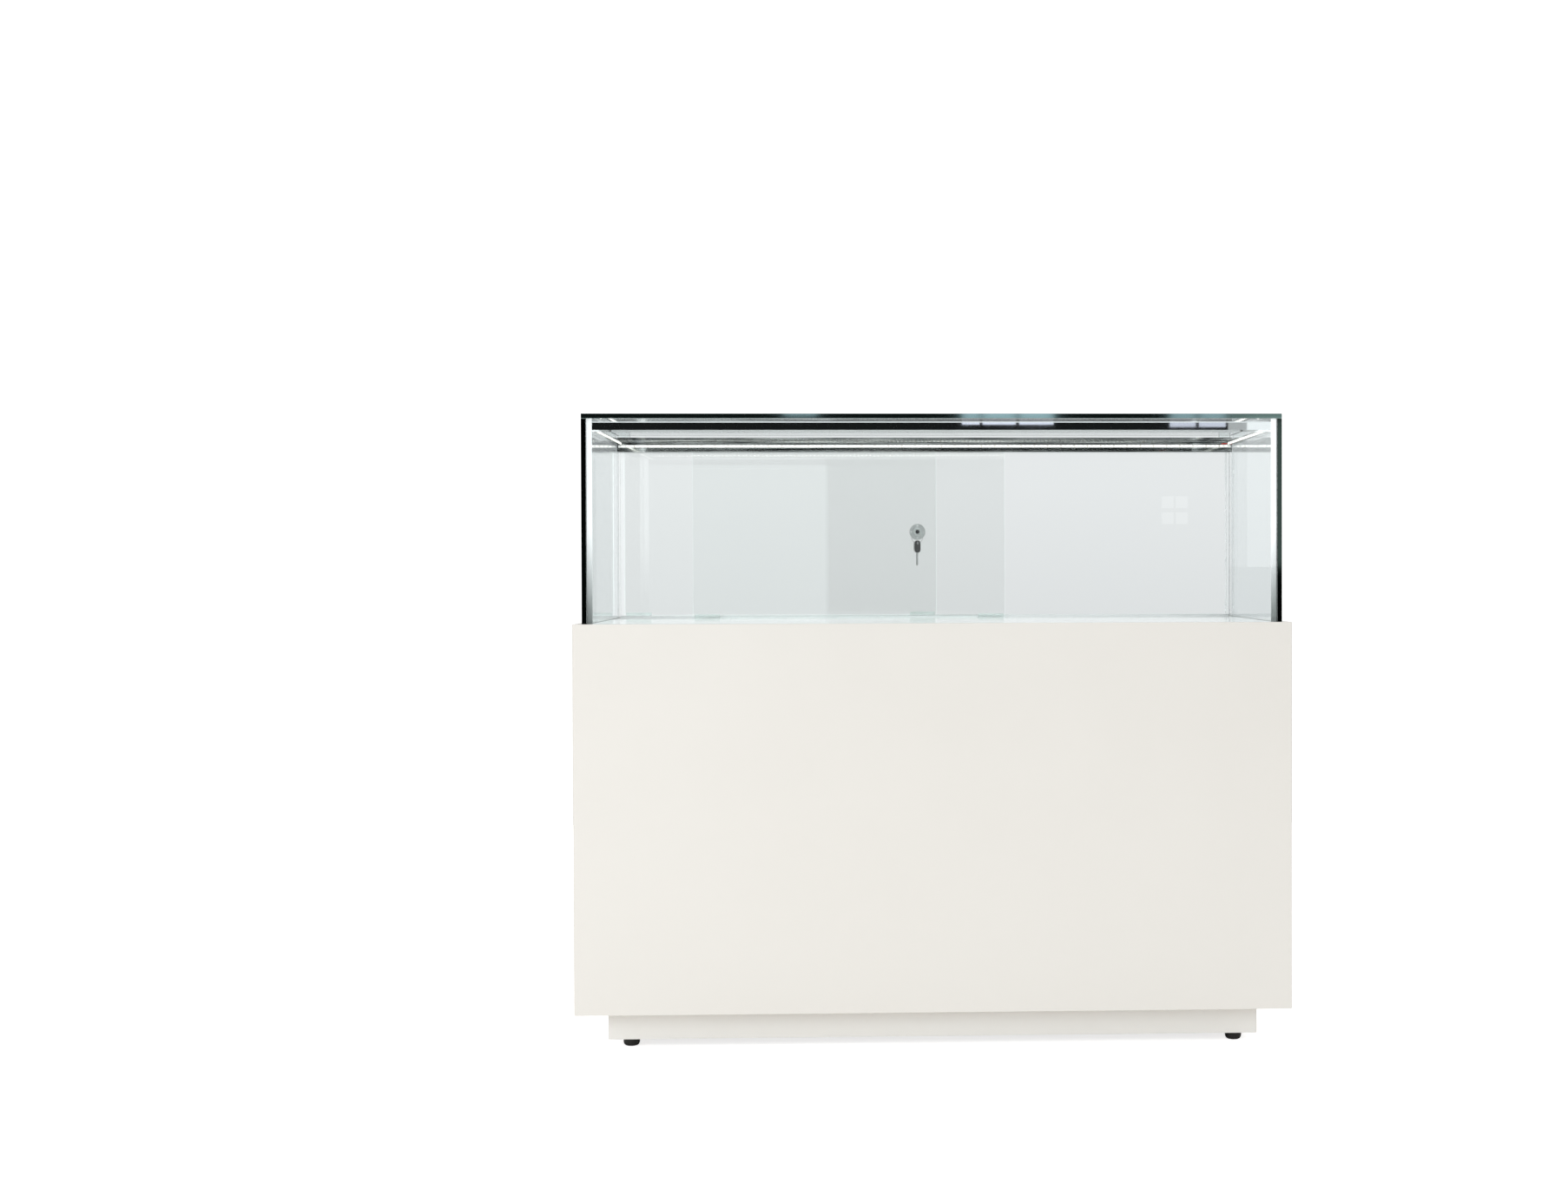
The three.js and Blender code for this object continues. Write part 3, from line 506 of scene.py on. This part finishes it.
def lit_diode():
    """The bright face of each diode in the lamp strips."""
    material, shader = new_material("lit_diode", (1, 0.98, 0.92), 0.4)
    set_glow(shader, 2.6, (1, 0.98, 0.93))
    return material


def painted_glow_board():
    """The strip's white board, with a painted glow for the light of its own diodes."""
    material, shader = new_material("lamp_board", (0.88, 0.89, 0.87), 0.4)
    vary_colour(material, shader, 90, (0.85, 0.86, 0.84), (0.9, 0.91, 0.89))
    # Painted light: the board glows evenly, as if washed by its diodes.
    set_glow(shader, 0.55, (1, 0.99, 0.95))
    return material


def make_materials():
    """Every material, by the key that material_key() gives a node or that a piece asks for."""
    hood_tint = (0.905, 0.94, 0.945)
    door_tint = (0.985, 0.995, 0.99)
    top_edge = (0.3, 0.46, 0.43)
    side_edge = (0.04, 0.06, 0.054)
    door_edge = (0.8, 0.88, 0.86)
    made = {
        "white_lacquer": lacquer("white_lacquer", (0.781, 0.760, 0.713), (0.794, 0.774, 0.728)),
        # The plinth's lacquer is a paler copy of the body's: painted light against the shade under the
        # body's overhang.
        "painted_lit_plinth_lacquer": lacquer("painted_lit_plinth_lacquer", (0.92, 0.92, 0.885), (0.935, 0.935, 0.9)),
        "gloss_deck": gloss_deck(),
        "raw_board": raw_board(),
        "flat_bar": mirror_bar("flat_bar", 0.000003),
        # The back and side bars carry a painted reflection: streaks in their base colour.
        "painted_reflection_bar": painted_reflection_bar("painted_reflection_bar", (1.2, 3, 95)),
        "painted_reflection_side_bar": painted_reflection_bar("painted_reflection_side_bar", (3, 2.5, 95)),
        "painted_light_bead": painted_light_bead(),
        "satin_aluminium": satin_aluminium(),
        # The last number of each cloudy plastic is its painted glow.
        "jamb_plastic": cloudy_plastic("jamb_plastic", (0.99, 0.995, 0.995), 0.06, 0.97, 1.18, 0.035),
        "jamb_clear": cloudy_plastic("jamb_clear", (0.99, 0.995, 0.995), 0.03, 0.99, 1.03, 0.0),
        "shoe_plastic": cloudy_plastic("shoe_plastic", (0.86, 0.915, 0.9), 0.2, 0.8, 1.35, 0.06),
        "grey_seal": smooth_plastic("grey_seal", (0.3, 0.33, 0.31), 0.6, grain=0.00005),
        "lamp_diffuser": smooth_plastic("lamp_cover", (0.85, 0.86, 0.84), 0.4),
        "lamp_board": painted_glow_board(),
        "lamp_chip": smooth_plastic("lamp_chip", (0.8, 0.79, 0.74), 0.35),
        "copper": brushed_metal("copper", (0.85, 0.6, 0.42), 0.35),
        "clear_block": clear_acrylic(),
        "foot_plastic": smooth_plastic("foot_plastic", (0.012, 0.011, 0.01), 0.45, grain=0.00005),
        "lock_nickel": brushed_metal("lock_nickel", (0.93, 0.945, 0.94), 0.3, metallic=0.12),
        "pin_steel": pin_with_painted_highlight(),
        "lock_dark": brushed_metal("lock_dark", (0.16, 0.165, 0.17), 0.35),
        "key_nickel": brushed_metal("key_nickel", (0.78, 0.79, 0.79), 0.3, metallic=0.5),
        "ring_steel": brushed_metal("ring_steel", (0.55, 0.56, 0.57), 0.25),
        "red_wire": smooth_plastic("red_wire", (0.55, 0.02, 0.015), 0.4),
        # The white wire glows too: painted light.
        "white_wire": cloudy_plastic("white_wire", (0.93, 0.95, 0.95), 0.25, 0.6, 1.15, 0.12),
        "driver_plastic": smooth_plastic("driver_plastic", (0.62, 0.63, 0.62), 0.5, grain=0.00004),
        "black_plastic": smooth_plastic("black_plastic", (0.014, 0.014, 0.016), 0.42, grain=0.00004),
        "lit_diode": lit_diode(),
    }
    for axis, (letter, edge) in enumerate(zip("xyz", (side_edge, side_edge, top_edge))):
        made[f"hood_glass_{letter}"] = pane_glass(f"hood_glass_{letter}", hood_tint, axis, edge, 0.04)
    # The door panes' edges glow: a painted highlight along each edge.
    made["door_glass_y"] = pane_glass("door_glass_y", door_tint, 1, door_edge, 0.1, 1.0)
    return made


# ------------------------------------------------------------------ CAD nodes

def thin_axis(node):
    """The axis along which a node is thinnest: 0, 1 or 2."""
    low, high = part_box(node)
    size = high - low
    return min(range(3), key=lambda axis: size[axis])


def material_key(node, slot):
    """The key of a node's material. Most take the name of their slot."""
    if slot in ("hood_glass", "door_glass"):
        return f"{slot}_{'xyz'[thin_axis(node)]}"
    # Plinth nodes take the paler lacquer, painted lighter against the shade of the overhang.
    if node.startswith("plinth_"):
        return "painted_lit_plinth_lacquer"
    if node.startswith("corner_strip"):
        return "painted_light_bead"
    if node == "lamp_bar_front":
        return "flat_bar"
    # The front bar mirrors the room; the other bars carry a painted reflection in their colour.
    if node == "lamp_bar_back":
        return "painted_reflection_bar"
    if node.startswith("lamp_bar_"):
        return "painted_reflection_side_bar"
    if node == "jamb_right":
        return "jamb_clear"
    return slot


def dress_nodes(materials):
    """Gives every CAD node its material."""
    for row in frame["record"]["subparts"]:
        node = nodes[row["node"]]
        node.data.materials.clear()
        node.data.materials.append(materials[material_key(row["node"], row["material_slot"])])


def ease_edges(thing, width, segments=3):
    """Rounds an object's sharp edges with a modifier, which leaves its mesh alone."""
    bevel = thing.modifiers.new("eased", "BEVEL")
    bevel.width = width
    bevel.segments = segments
    bevel.limit_method = "ANGLE"
    bevel.angle_limit = math.radians(35)
    bevel.harden_normals = True


def ease_all():
    """Rounds the edges of the nodes that stay visible as they are."""
    for name, node in nodes.items():
        if name.startswith("plinth_"):
            ease_edges(node, 0.5 * MM)
        elif name.endswith(("_shoe_left", "_shoe_right")):
            ease_edges(node, 0.25 * MM)
        elif name.startswith(("lamp_bar_", "jamb_")) or name.endswith("_track"):
            ease_edges(node, 0.2 * MM, 2)
        elif name in ("lamp_driver", "switch_rocker"):
            ease_edges(node, 0.8 * MM)
        elif name.startswith("bar_spacer"):
            ease_edges(node, 0.4 * MM)


# ------------------------------------------------------------------ building pieces

def new_piece(name, bm, material, body, sharp=35):
    """An object from a bmesh, riding on a body, smooth except at edges sharper than the angle in degrees."""
    bmesh.ops.recalc_face_normals(bm, faces=bm.faces)
    mesh = bpy.data.meshes.new(name)
    bm.to_mesh(mesh)
    bm.free()
    piece = bpy.data.objects.new(name, mesh)
    scene.collection.objects.link(piece)
    mesh.materials.append(material)
    mesh.shade_smooth()
    mesh.set_sharp_from_angle(angle=math.radians(sharp))
    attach(piece, body)
    return piece


def axis_frame(place, axis):
    """A matrix that turns local +Z onto the axis and moves the origin to the place."""
    turn = Vector((0, 0, 1)).rotation_difference(Vector(axis)).to_matrix().to_4x4()
    return Matrix.Translation(Vector(place)) @ turn


def lathe(profile, segments, matrix, wobble=None):
    """Turns (radius, height) points round local Z. wobble(angle, row) scales the radius there."""
    bm = bmesh.new()
    rings = []
    for row, (radius, height) in enumerate(profile):
        on_axis = radius < 1e-7
        if on_axis:
            rings.append([bm.verts.new((0, 0, height))])
            continue
        ring = []
        for step in range(segments):
            angle = 2 * math.pi * step / segments
            reach = radius * (wobble(angle, row) if wobble else 1)
            ring.append(bm.verts.new((reach * math.cos(angle), reach * math.sin(angle), height)))
        rings.append(ring)
    for lower, upper in zip(rings, rings[1:]):
        for step in range(segments):
            following = (step + 1) % segments
            corners = []
            for ring, order in ((lower, (step, following)), (upper, (following, step))):
                for index in order:
                    vertex = ring[index % len(ring)]
                    if vertex not in corners:
                        corners.append(vertex)
            bm.faces.new(corners)
    bmesh.ops.transform(bm, matrix=matrix, verts=bm.verts)
    return bm


def scaled(profile):
    """A profile in millimetres, turned into metres."""
    return [(radius * MM, height * MM) for radius, height in profile]


def rounded(profile, radius, steps=4):
    """Replaces each inner corner of a (radius, height) profile with a small arc, all in mm."""
    result = [profile[0]]
    for before, corner, after in zip(profile, profile[1:], profile[2:]):
        corner_point = Vector(corner)
        inward = Vector(before) - corner_point
        outward = Vector(after) - corner_point
        reach = min(radius, inward.length * 0.45, outward.length * 0.45)
        start = corner_point + inward.normalized() * reach
        end = corner_point + outward.normalized() * reach
        for step in range(steps + 1):
            share = step / steps
            point = start.lerp(corner_point, share).lerp(corner_point.lerp(end, share), share)
            result.append((point.x, point.y))
    result.append(profile[-1])
    return result


def box_into(bm, low, high, material_index=0):
    """Adds a box between two corners to a bmesh."""
    matrix = Matrix.Translation((Vector(low) + Vector(high)) / 2)
    size = Vector(high) - Vector(low)
    scale = Matrix.Diagonal((*size, 1))
    made = bmesh.ops.create_cube(bm, size=1, matrix=matrix @ scale)
    for face in {face for vertex in made["verts"] for face in vertex.link_faces}:
        face.material_index = material_index


def apply_modifiers(piece):
    """Makes a piece's modifiers part of its mesh."""
    view = bpy.context.evaluated_depsgraph_get()
    mesh = bpy.data.meshes.new_from_object(piece.evaluated_get(view))
    piece.modifiers.clear()
    piece.data = mesh


def carve(piece, cutters, sharp=35):
    """Cuts each bmesh of cutters out of the piece."""
    tools = []
    for index, bm in enumerate(cutters):
        bmesh.ops.recalc_face_normals(bm, faces=bm.faces)
        mesh = bpy.data.meshes.new(f"{piece.name}_cutter")
        bm.to_mesh(mesh)
        bm.free()
        tool = bpy.data.objects.new(f"{piece.name}_cutter_{index}", mesh)
        scene.collection.objects.link(tool)
        change = piece.modifiers.new(f"cut_{index}", "BOOLEAN")
        change.object = tool
        change.solver = "EXACT"
        tools.append(tool)
    apply_modifiers(piece)
    for tool in tools:
        bpy.data.objects.remove(tool)
    piece.data.shade_smooth()
    piece.data.set_sharp_from_angle(angle=math.radians(sharp))


def centre_of(node):
    """The middle of a CAD node's box."""
    low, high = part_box(node)
    return (low + high) / 2


def plate(outline, depth_low, depth_high):
    """A flat plate with the given outline, between two heights, all in mm."""
    bm = bmesh.new()
    floor = [bm.verts.new((x * MM, y * MM, depth_low * MM)) for x, y in outline]
    roof = [bm.verts.new((x * MM, y * MM, depth_high * MM)) for x, y in outline]
    bm.faces.new(floor[::-1])
    bm.faces.new(roof)
    count = len(outline)
    for k in range(count):
        following = (k + 1) % count
        bm.faces.new((floor[k], floor[following], roof[following], roof[k]))
    return bm


def merge_into(bm, other):
    """Adds the faces of one bmesh to another."""
    mesh = bpy.data.meshes.new("merge")
    other.to_mesh(mesh)
    other.free()
    bm.from_mesh(mesh)
    bpy.data.meshes.remove(mesh)


# ------------------------------------------------------------------ feet

def build_feet(materials):
    """Levelling feet: a fluted bowl on a threaded stem. Profiles are (radius, height) in mm."""
    sole_radius = 9
    bowl_radius = 14
    bowl_rise = 8
    bowl = [(0, 0.6), (6.5, 0.6), (7.2, 0), (sole_radius, 0)]
    steps = 10
    for step in range(1, steps + 1):
        turn = step / steps * math.pi / 2
        radius = sole_radius + (bowl_radius - sole_radius) * math.sin(turn)
        bowl.append((radius, bowl_rise * (1 - math.cos(turn))))
    bowl += [(bowl_radius, 12.2), (13.7, 12.75), (13.2, 13), (6.5, 13), (6, 13.4), (4, 13.4)]
    thread = []
    thread_pitch = 1.25
    height = 13.8
    while height < 52:
        thread += [(3.5, height), (3.98, height + 0.4)]
        height += thread_pitch
    profile = scaled(bowl + thread + [(3.4, 52.6), (0, 52.8)])
    grip_rows = range(len(bowl) - 8, len(bowl) - 5)
    flutes = 28
    flute_depth = 0.018

    def flute(angle, row):
        """The share of its radius that the bowl has at this angle."""
        if row not in grip_rows:
            return 1
        return 1 - flute_depth * (0.5 - 0.5 * math.cos(flutes * angle))

    for end in ("front", "back"):
        for side in ("left", "right"):
            node = f"foot_{end}_{side}"
            middle = centre_of(node)
            bm = lathe(profile, 112, Matrix.Translation((middle.x, middle.y, 0)), flute)
            foot = new_piece(f"levelling_{node}", bm, materials["foot_plastic"], node)
            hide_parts(node)


# ------------------------------------------------------------------ lock and keys

def build_lock_nut(materials, middle):
    """The round nut inside the door, with four spanner holes and a pin at the foot of each, bright with a
    painted highlight.
    """
    low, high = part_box("lock_nut")
    outward = axis_frame((middle.x, high.y, middle.z), (0, -1, 0))
    thickness = (high.y - low.y) / MM
    profile = rounded([
        (6.8, 0), (14.6, 0), (14.6, thickness - 0.9), (13.7, thickness), (9.2, thickness),
        (8.8, thickness - 0.35), (7.6, thickness - 0.35), (7.4, thickness - 0.1), (6.8, thickness - 0.1),
        (6.8, 0),
    ], 0.25, 3)
    nut = new_piece("lock_ring_nut", lathe(scaled(profile), 96, outward), materials["lock_nickel"],
                    "outer_door")

    hole = [
        (0, thickness - 1.5), (1.5, thickness - 1.5), (1.5, thickness - 0.3), (1.9, thickness + 0.1),
        (1.9, thickness + 1), (0, thickness + 1),
    ]
    pin = rounded([
        (0, thickness - 1.4), (1.35, thickness - 1.4), (1.35, thickness - 0.3), (0, thickness),
    ], 0.3, 3)
    reach = 11.4 * MM
    holes = []
    pins = bmesh.new()
    for quarter in range(4):
        angle = quarter * math.pi / 2
        place = outward @ Matrix.Translation((reach * math.cos(angle), reach * math.sin(angle), 0))
        holes.append(lathe(scaled(hole), 32, place))
        merge_into(pins, lathe(scaled(pin), 24, place))
    carve(nut, holes)
    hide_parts("lock_nut")
    new_piece("lock_nut_pins", pins, materials["pin_steel"], "outer_door")


def build_lock_housing(materials, middle):
    """The lock's body, through the door's hole, with its broad head outside."""
    low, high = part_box("lock_housing")
    inward = axis_frame((middle.x, low.y, middle.z), (0, 1, 0))
    length = (high.y - low.y) / MM
    flange = length - 7.5
    profile = rounded([
        (3.8, 0.4), (4.6, 0), (6.3, 0), (6.3, flange), (15, flange), (15, flange + 2.5),
        (14.2, flange + 3.4), (11.2, length - 0.3), (10.4, length), (5.2, length), (4.9, length - 0.4),
        (3.8, length - 0.4), (3.8, 0.4),
    ], 0.35, 4)
    housing = new_piece("lock_outer_housing", lathe(scaled(profile), 96, inward), materials["lock_nickel"],
                        "outer_door")
    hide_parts("lock_housing")


def build_lock_plug(materials, middle):
    """The plug that the key turns, with its keyway."""
    low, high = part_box("lock_plug")
    inward = axis_frame((middle.x, low.y, middle.z), (0, 1, 0))
    length = (high.y - low.y) / MM
    profile = rounded([
        (0, 2.2), (1.1, 2.2), (1.2, 0.2), (1.4, 0), (3.6, 0), (3.6, length - 0.1), (3.3, length),
        (0, length),
    ], 0.15, 2)
    plug = new_piece("lock_key_plug", lathe(scaled(profile), 64, inward), materials["lock_dark"],
                     "lock_plug")
    keyway = bmesh.new()
    box_into(keyway, (middle.x - 1.2 * MM, high.y - 10 * MM, middle.z - 2.8 * MM),
             (middle.x + 1.2 * MM, high.y + 2 * MM, middle.z + 2.8 * MM))
    carve(plug, [keyway])
    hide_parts("lock_plug")


def build_lock(materials):
    """The door lock."""
    middle = centre_of("lock_nut")
    build_lock_nut(materials, middle)
    build_lock_housing(materials, middle)
    build_lock_plug(materials, middle)


def squared_point(reach_x, reach_y, angle):
    """A point of an oval whose sides are pulled out towards its corners."""
    power = 0.55
    x = math.copysign(abs(math.cos(angle)) ** power, math.cos(angle))
    y = math.copysign(abs(math.sin(angle)) ** power, math.sin(angle))
    return reach_x * x, reach_y * y


def key_outline(bow_width, bow_length, tip, teeth, hole_offset):
    """Outline and ring hole of a key lying along -Y from the centre of its bow, in mm."""
    half = 2.5              # half the blade's width
    outline = []
    start = math.asin(2 * half / bow_width)
    steps = 48
    for step in range(steps + 1):
        angle = -math.pi / 2 + start + (2 * math.pi - 2 * start) * step / steps
        outline.append(squared_point(bow_width / 2, bow_length / 2, angle))
    outline = [point for point in outline if abs(point[0]) > half or point[1] > 0]
    shoulder = -bow_length / 2 - 0.6
    outline += [(-half, shoulder), (-half, -tip + 1.8), (-1.1, -tip), (0.6, -tip), (half - 1.2, -tip + 1.4)]
    run = (tip + shoulder - 1.4) / (teeth + 0.5)
    cuts = (0.9, 1.5, 0.7, 1.3, 1.0)
    for tooth in range(teeth):
        foot = -tip + 1.4 + tooth * run
        floor = half - cuts[tooth % len(cuts)]
        outline += [(floor, foot + 0.15 * run), (floor, foot + 0.45 * run), (half, foot + run * 0.8)]
    outline.append((half, shoulder))
    hole_radius = 2.8
    angles = [2 * math.pi * k / 32 for k in range(32)]
    hole = [(hole_radius * math.cos(angle), hole_offset + hole_radius * math.sin(angle)) for angle in angles]
    return outline, hole


KEY_HALF = 0.9           # half a key's thickness, in mm
GRIP_SKIN = 0.5          # thickness of a grip over the key's bow, in mm
GRIP_RIB = 0.45          # height of a rib over the grip, and half its width, in mm


def make_blade(name, bow, tip, outline, hole, matrix, material, body):
    """A key's metal, with its ring hole and a groove down each side of its blade."""
    bm = plate(outline, -KEY_HALF, KEY_HALF)
    bmesh.ops.transform(bm, matrix=matrix, verts=bm.verts)
    blade = new_piece(name, bm, material, body)
    groove_depth = 0.35
    cutters = [plate(hole, -3, 3)]
    for side in (-1, 1):
        groove = bmesh.new()
        below, above = sorted((side * (KEY_HALF - groove_depth), side * 3))
        box_into(groove, (-0.5 * MM, -(tip + 1) * MM, below * MM),
                 (0.4 * MM, -(bow[1] / 2 - 1) * MM, above * MM))
        cutters.append(groove)
    for cutter in cutters:
        bmesh.ops.transform(cutter, matrix=matrix, verts=cutter.verts)
    carve(blade, cutters, sharp=30)
    ease_edges(blade, 0.15 * MM, 2)
    return blade


def make_grip(name, bow, hole, matrix, material, body):
    """The moulded grip on both sides of a key's bow, with six ribs on each side."""
    grip = bmesh.new()
    shell = [squared_point(bow[0] * 0.485, bow[1] * 0.485, 2 * math.pi * k / 56) for k in range(56)]
    rib_reach = bow[0] * 0.36
    for side in (-1, 1):
        merge_into(grip, plate(shell, *sorted((side * KEY_HALF, side * (KEY_HALF + GRIP_SKIN)))))
        skin = KEY_HALF + GRIP_SKIN
        below, above = sorted((side * skin, side * (skin + GRIP_RIB)))
        for rib in range(6):
            level = -bow[1] * 0.42 + rib * bow[1] * 0.1
            box_into(grip, (-rib_reach * MM, (level - GRIP_RIB) * MM, below * MM),
                     (rib_reach * MM, (level + GRIP_RIB) * MM, above * MM))
    bmesh.ops.transform(grip, matrix=matrix, verts=grip.verts)
    cover = new_piece(name, grip, material, body)
    ring_hole = plate(hole, -3, 3)
    bmesh.ops.transform(ring_hole, matrix=matrix, verts=ring_hole.verts)
    carve(cover, [ring_hole], sharp=30)
    ease_edges(cover, 0.2 * MM, 2)


def make_key(name, bow, tip, teeth, hole_offset, matrix, materials, node):
    """A flat key with a ridged grip. bow is the (width, length) of its head, in mm."""
    outline, hole = key_outline(*bow, tip, teeth, hole_offset)
    blade = make_blade(name, bow, tip, outline, hole, matrix, materials["key_nickel"], node)
    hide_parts(node)
    make_grip(f"{name}_grip", bow, hole, matrix, materials["black_plastic"], node)


def build_key_ring(materials):
    """A split ring: two turns of wire side by side."""
    low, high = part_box("key_ring")
    middle = (low + high) / 2
    wire_radius = 0.38
    coil_width = 0.8
    coil_radius = (high.x - low.x) / 2 / MM - coil_width
    coil = bpy.data.curves.new("key_ring_wire", "CURVE")
    coil.dimensions = "3D"
    coil.bevel_depth = wire_radius * MM
    coil.bevel_resolution = 5
    coil.use_fill_caps = True
    coil.materials.append(materials["ring_steel"])
    turns = 2
    points = 48 * turns
    spline = coil.splines.new("POLY")
    spline.points.add(points)
    for index, point in enumerate(spline.points):
        angle = 2 * math.pi * turns * index / points + 0.7
        across = (index / points - 0.5) * coil_width
        x = middle.x + coil_radius * MM * math.cos(angle)
        z = middle.z + coil_radius * MM * math.sin(angle)
        point.co = (x, middle.y + across * MM, z, 1)
    ring = bpy.data.objects.new("split_ring", coil)
    scene.collection.objects.link(ring)
    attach(ring, "key_ring")
    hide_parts("key_ring")


def build_keys(materials):
    """The key in the lock, the ring on it, and the spare that hangs from the ring."""
    low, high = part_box("key")
    middle = (low + high) / 2
    bow = (19.8, 17)
    bow_centre = Vector((middle.x, high.y - bow[1] / 2 * MM, middle.z))
    inserted = Matrix.Translation(bow_centre) @ Matrix.Rotation(-math.pi / 2, 4, "Y")
    make_key("key_in_lock", bow, 17.5, 2, 4.2, inserted, materials, "key")

    build_key_ring(materials)

    low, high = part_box("spare_key")
    bow = (22, 23)
    bow_centre = Vector(((low.x + high.x) / 2, centre_of("key_ring").y, high.z - bow[1] / 2 * MM))
    turned = Matrix.Rotation(math.radians(58), 4, "Z") @ Matrix.Rotation(math.pi / 2, 4, "X")
    make_key("spare_key_hanging", bow, 36, 5, 6.5, Matrix.Translation(bow_centre) @ turned, materials,
             "spare_key")


# ------------------------------------------------------------------ lamps

def build_lamp_strips(materials):
    """Lit strips: a white board with a row of diodes, and with resistors and solder pads between some."""
    board, diode, chip, resistor, pad = range(5)
    pitch = 8.33 * MM
    for name in ("front", "back", "left", "right"):
        low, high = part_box(f"lamp_strip_{name}")
        size = high - low
        along = 0 if size.x > size.y else 1
        across = 1 - along
        inner = {"front": 1, "back": -1, "left": 1, "right": -1}[name]
        wall = low[across] if inner > 0 else high[across]
        bm = bmesh.new()

        def slab(start, length, bottom, top, out_from, out_to, kind):
            """A box on the strip: start and length along it, heights, and distances out from its back."""
            box_low = [0, 0, bottom]
            box_high = [0, 0, top]
            box_low[along] = start
            box_high[along] = start + length
            reach = sorted((wall + inner * out_from, wall + inner * out_to))
            box_low[across], box_high[across] = reach
            box_into(bm, box_low, box_high, kind)

        def part(centre, offset, length, level, height, out_from, out_to, kind):
            """A small part beside a diode's centre, its level taken from mid-height, all sizes in mm."""
            slab(centre + offset * MM, length * MM, middle + (level - height / 2) * MM,
                 middle + (level + height / 2) * MM, out_from * MM, out_to * MM, kind)

        middle = (low.z + high.z) / 2
        slab(low[along], size[along], low.z, high.z, 0, 0.5 * MM, board)
        count = int((size[along] - 10 * MM) / pitch)
        first = low[along] + (size[along] - (count - 1) * pitch) / 2
        for index in range(count):
            centre = first + index * pitch
            part(centre, -1.75, 3.5, 0, 2.8, 0.5, 1.5, chip)
            part(centre, -1.4, 2.8, 0, 2.2, 1.5, 1.85, diode)
            if index % 3 == 0:
                part(centre, 3.6, 1.2, 0, 0.8, 0.5, 0.9, resistor)
            if index % 3 == 2:
                for level in (-1.3, 1.3):
                    part(centre, 3.3, 1.8, level, 1.2, 0.5, 0.58, pad)
        strip = new_piece(f"lit_strip_{name}", bm, materials["lamp_board"], "cabinet")
        for key in ("lit_diode", "lamp_chip", "black_plastic", "copper"):
            strip.data.materials.append(materials[key])
        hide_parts(f"lamp_strip_{name}")


# ------------------------------------------------------------------ wires and gland

def wire_curve(name, points, radius, material, node):
    """A round wire through points, each a (place, handle before, handle after)."""
    curve = bpy.data.curves.new(name, "CURVE")
    curve.dimensions = "3D"
    curve.bevel_depth = radius
    curve.bevel_resolution = 6
    curve.resolution_u = 24
    curve.use_fill_caps = True
    spline = curve.splines.new("BEZIER")
    spline.bezier_points.add(len(points) - 1)
    for target, (place, before, after) in zip(spline.bezier_points, points):
        target.co = place
        target.handle_left = before
        target.handle_right = after
    wire = bpy.data.objects.new(name, curve)
    scene.collection.objects.link(wire)
    curve.materials.append(material)
    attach(wire, "cabinet")
    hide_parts(node)


def build_wires(materials):
    """The lamp lead down the back corner to the driver, and the jumper between two bars."""
    low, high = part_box("supply_lead")
    radius = (high.y - low.y) / 2
    x = high.x - radius
    y = (low.y + high.y) / 2
    level = low.z + radius
    bend = 40 * MM
    top = Vector((x, y, high.z))
    upper = Vector((x, y, level + bend))
    lower = Vector((x - bend, y, level))
    end = Vector((low.x, y, level))
    straight_down = Vector((0, 0, 0.1))
    straight_on = Vector((0.02, 0, 0))
    pull_down = Vector((0, 0, bend * 2 / 3))
    pull_on = Vector((bend * 2 / 3, 0, 0))
    wire_curve("lamp_lead", [
        (top, top, top - straight_down),
        (upper, upper + straight_down, upper - pull_down),
        (lower, lower + pull_on, lower - straight_on),
        (end, end + straight_on, end),
    ], radius, materials["white_wire"], "supply_lead")

    low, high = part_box("lamp_jumper")
    middle = (low.z + high.z) / 2
    radius = 1.05 * MM
    start = Vector((high.x, low.y + 1.0 * MM, middle))
    finish = Vector((low.x + radius, high.y, middle))
    corner = Vector((finish.x, start.y, middle))
    wire_curve("red_jumper", [
        (start, start, start.lerp(corner, 0.66)),
        (finish, finish.lerp(corner, 0.66), finish),
    ], radius, materials["red_wire"], "lamp_jumper")


def build_gland(materials):
    """A domed cable gland with a hexagon foot, its membrane unbroken."""
    low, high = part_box("cable_gland")
    middle = (low + high) / 2
    place = axis_frame((middle.x, low.y, middle.z), (0, 1, 0))
    length = (high.y - low.y) / MM
    wall = length - 9
    profile = rounded([
        (0, 0), (11, 0), (11, 5), (7.5, 5), (7.5, wall + 0.3), (12, wall + 0.3), (12, wall + 3),
        (10.4, wall + 3.2), (9.6, wall + 6), (7.2, length), (4.2, length), (3.6, length - 2),
        (0, length - 1.6),
    ], 0.5, 4)
    head_rows = [row for row, (radius, height) in enumerate(profile) if radius > 11 and height > wall]
    corner_ease = 0.9

    def hexagon(angle, row):
        """Flattens the round head to a hexagon with eased corners."""
        if row not in head_rows:
            return 1
        from_flat = (angle + math.pi / 6) % (math.pi / 3) - math.pi / 6
        return corner_ease / max(corner_ease, math.cos(from_flat))

    gland = new_piece("gland_body", lathe(scaled(profile), 96, place, hexagon), materials["black_plastic"],
                      "cabinet", sharp=25)
    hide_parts("cable_gland")


add_camera()
add_world()
add_room()
add_floor()
materials = make_materials()
dress_nodes(materials)
ease_all()
build_feet(materials)
build_lock(materials)
build_keys(materials)
build_lamp_strips(materials)
build_wires(materials)
build_gland(materials)
add_lights()

scene.view_settings.view_transform = "Standard"
scene.view_settings.look = "None"
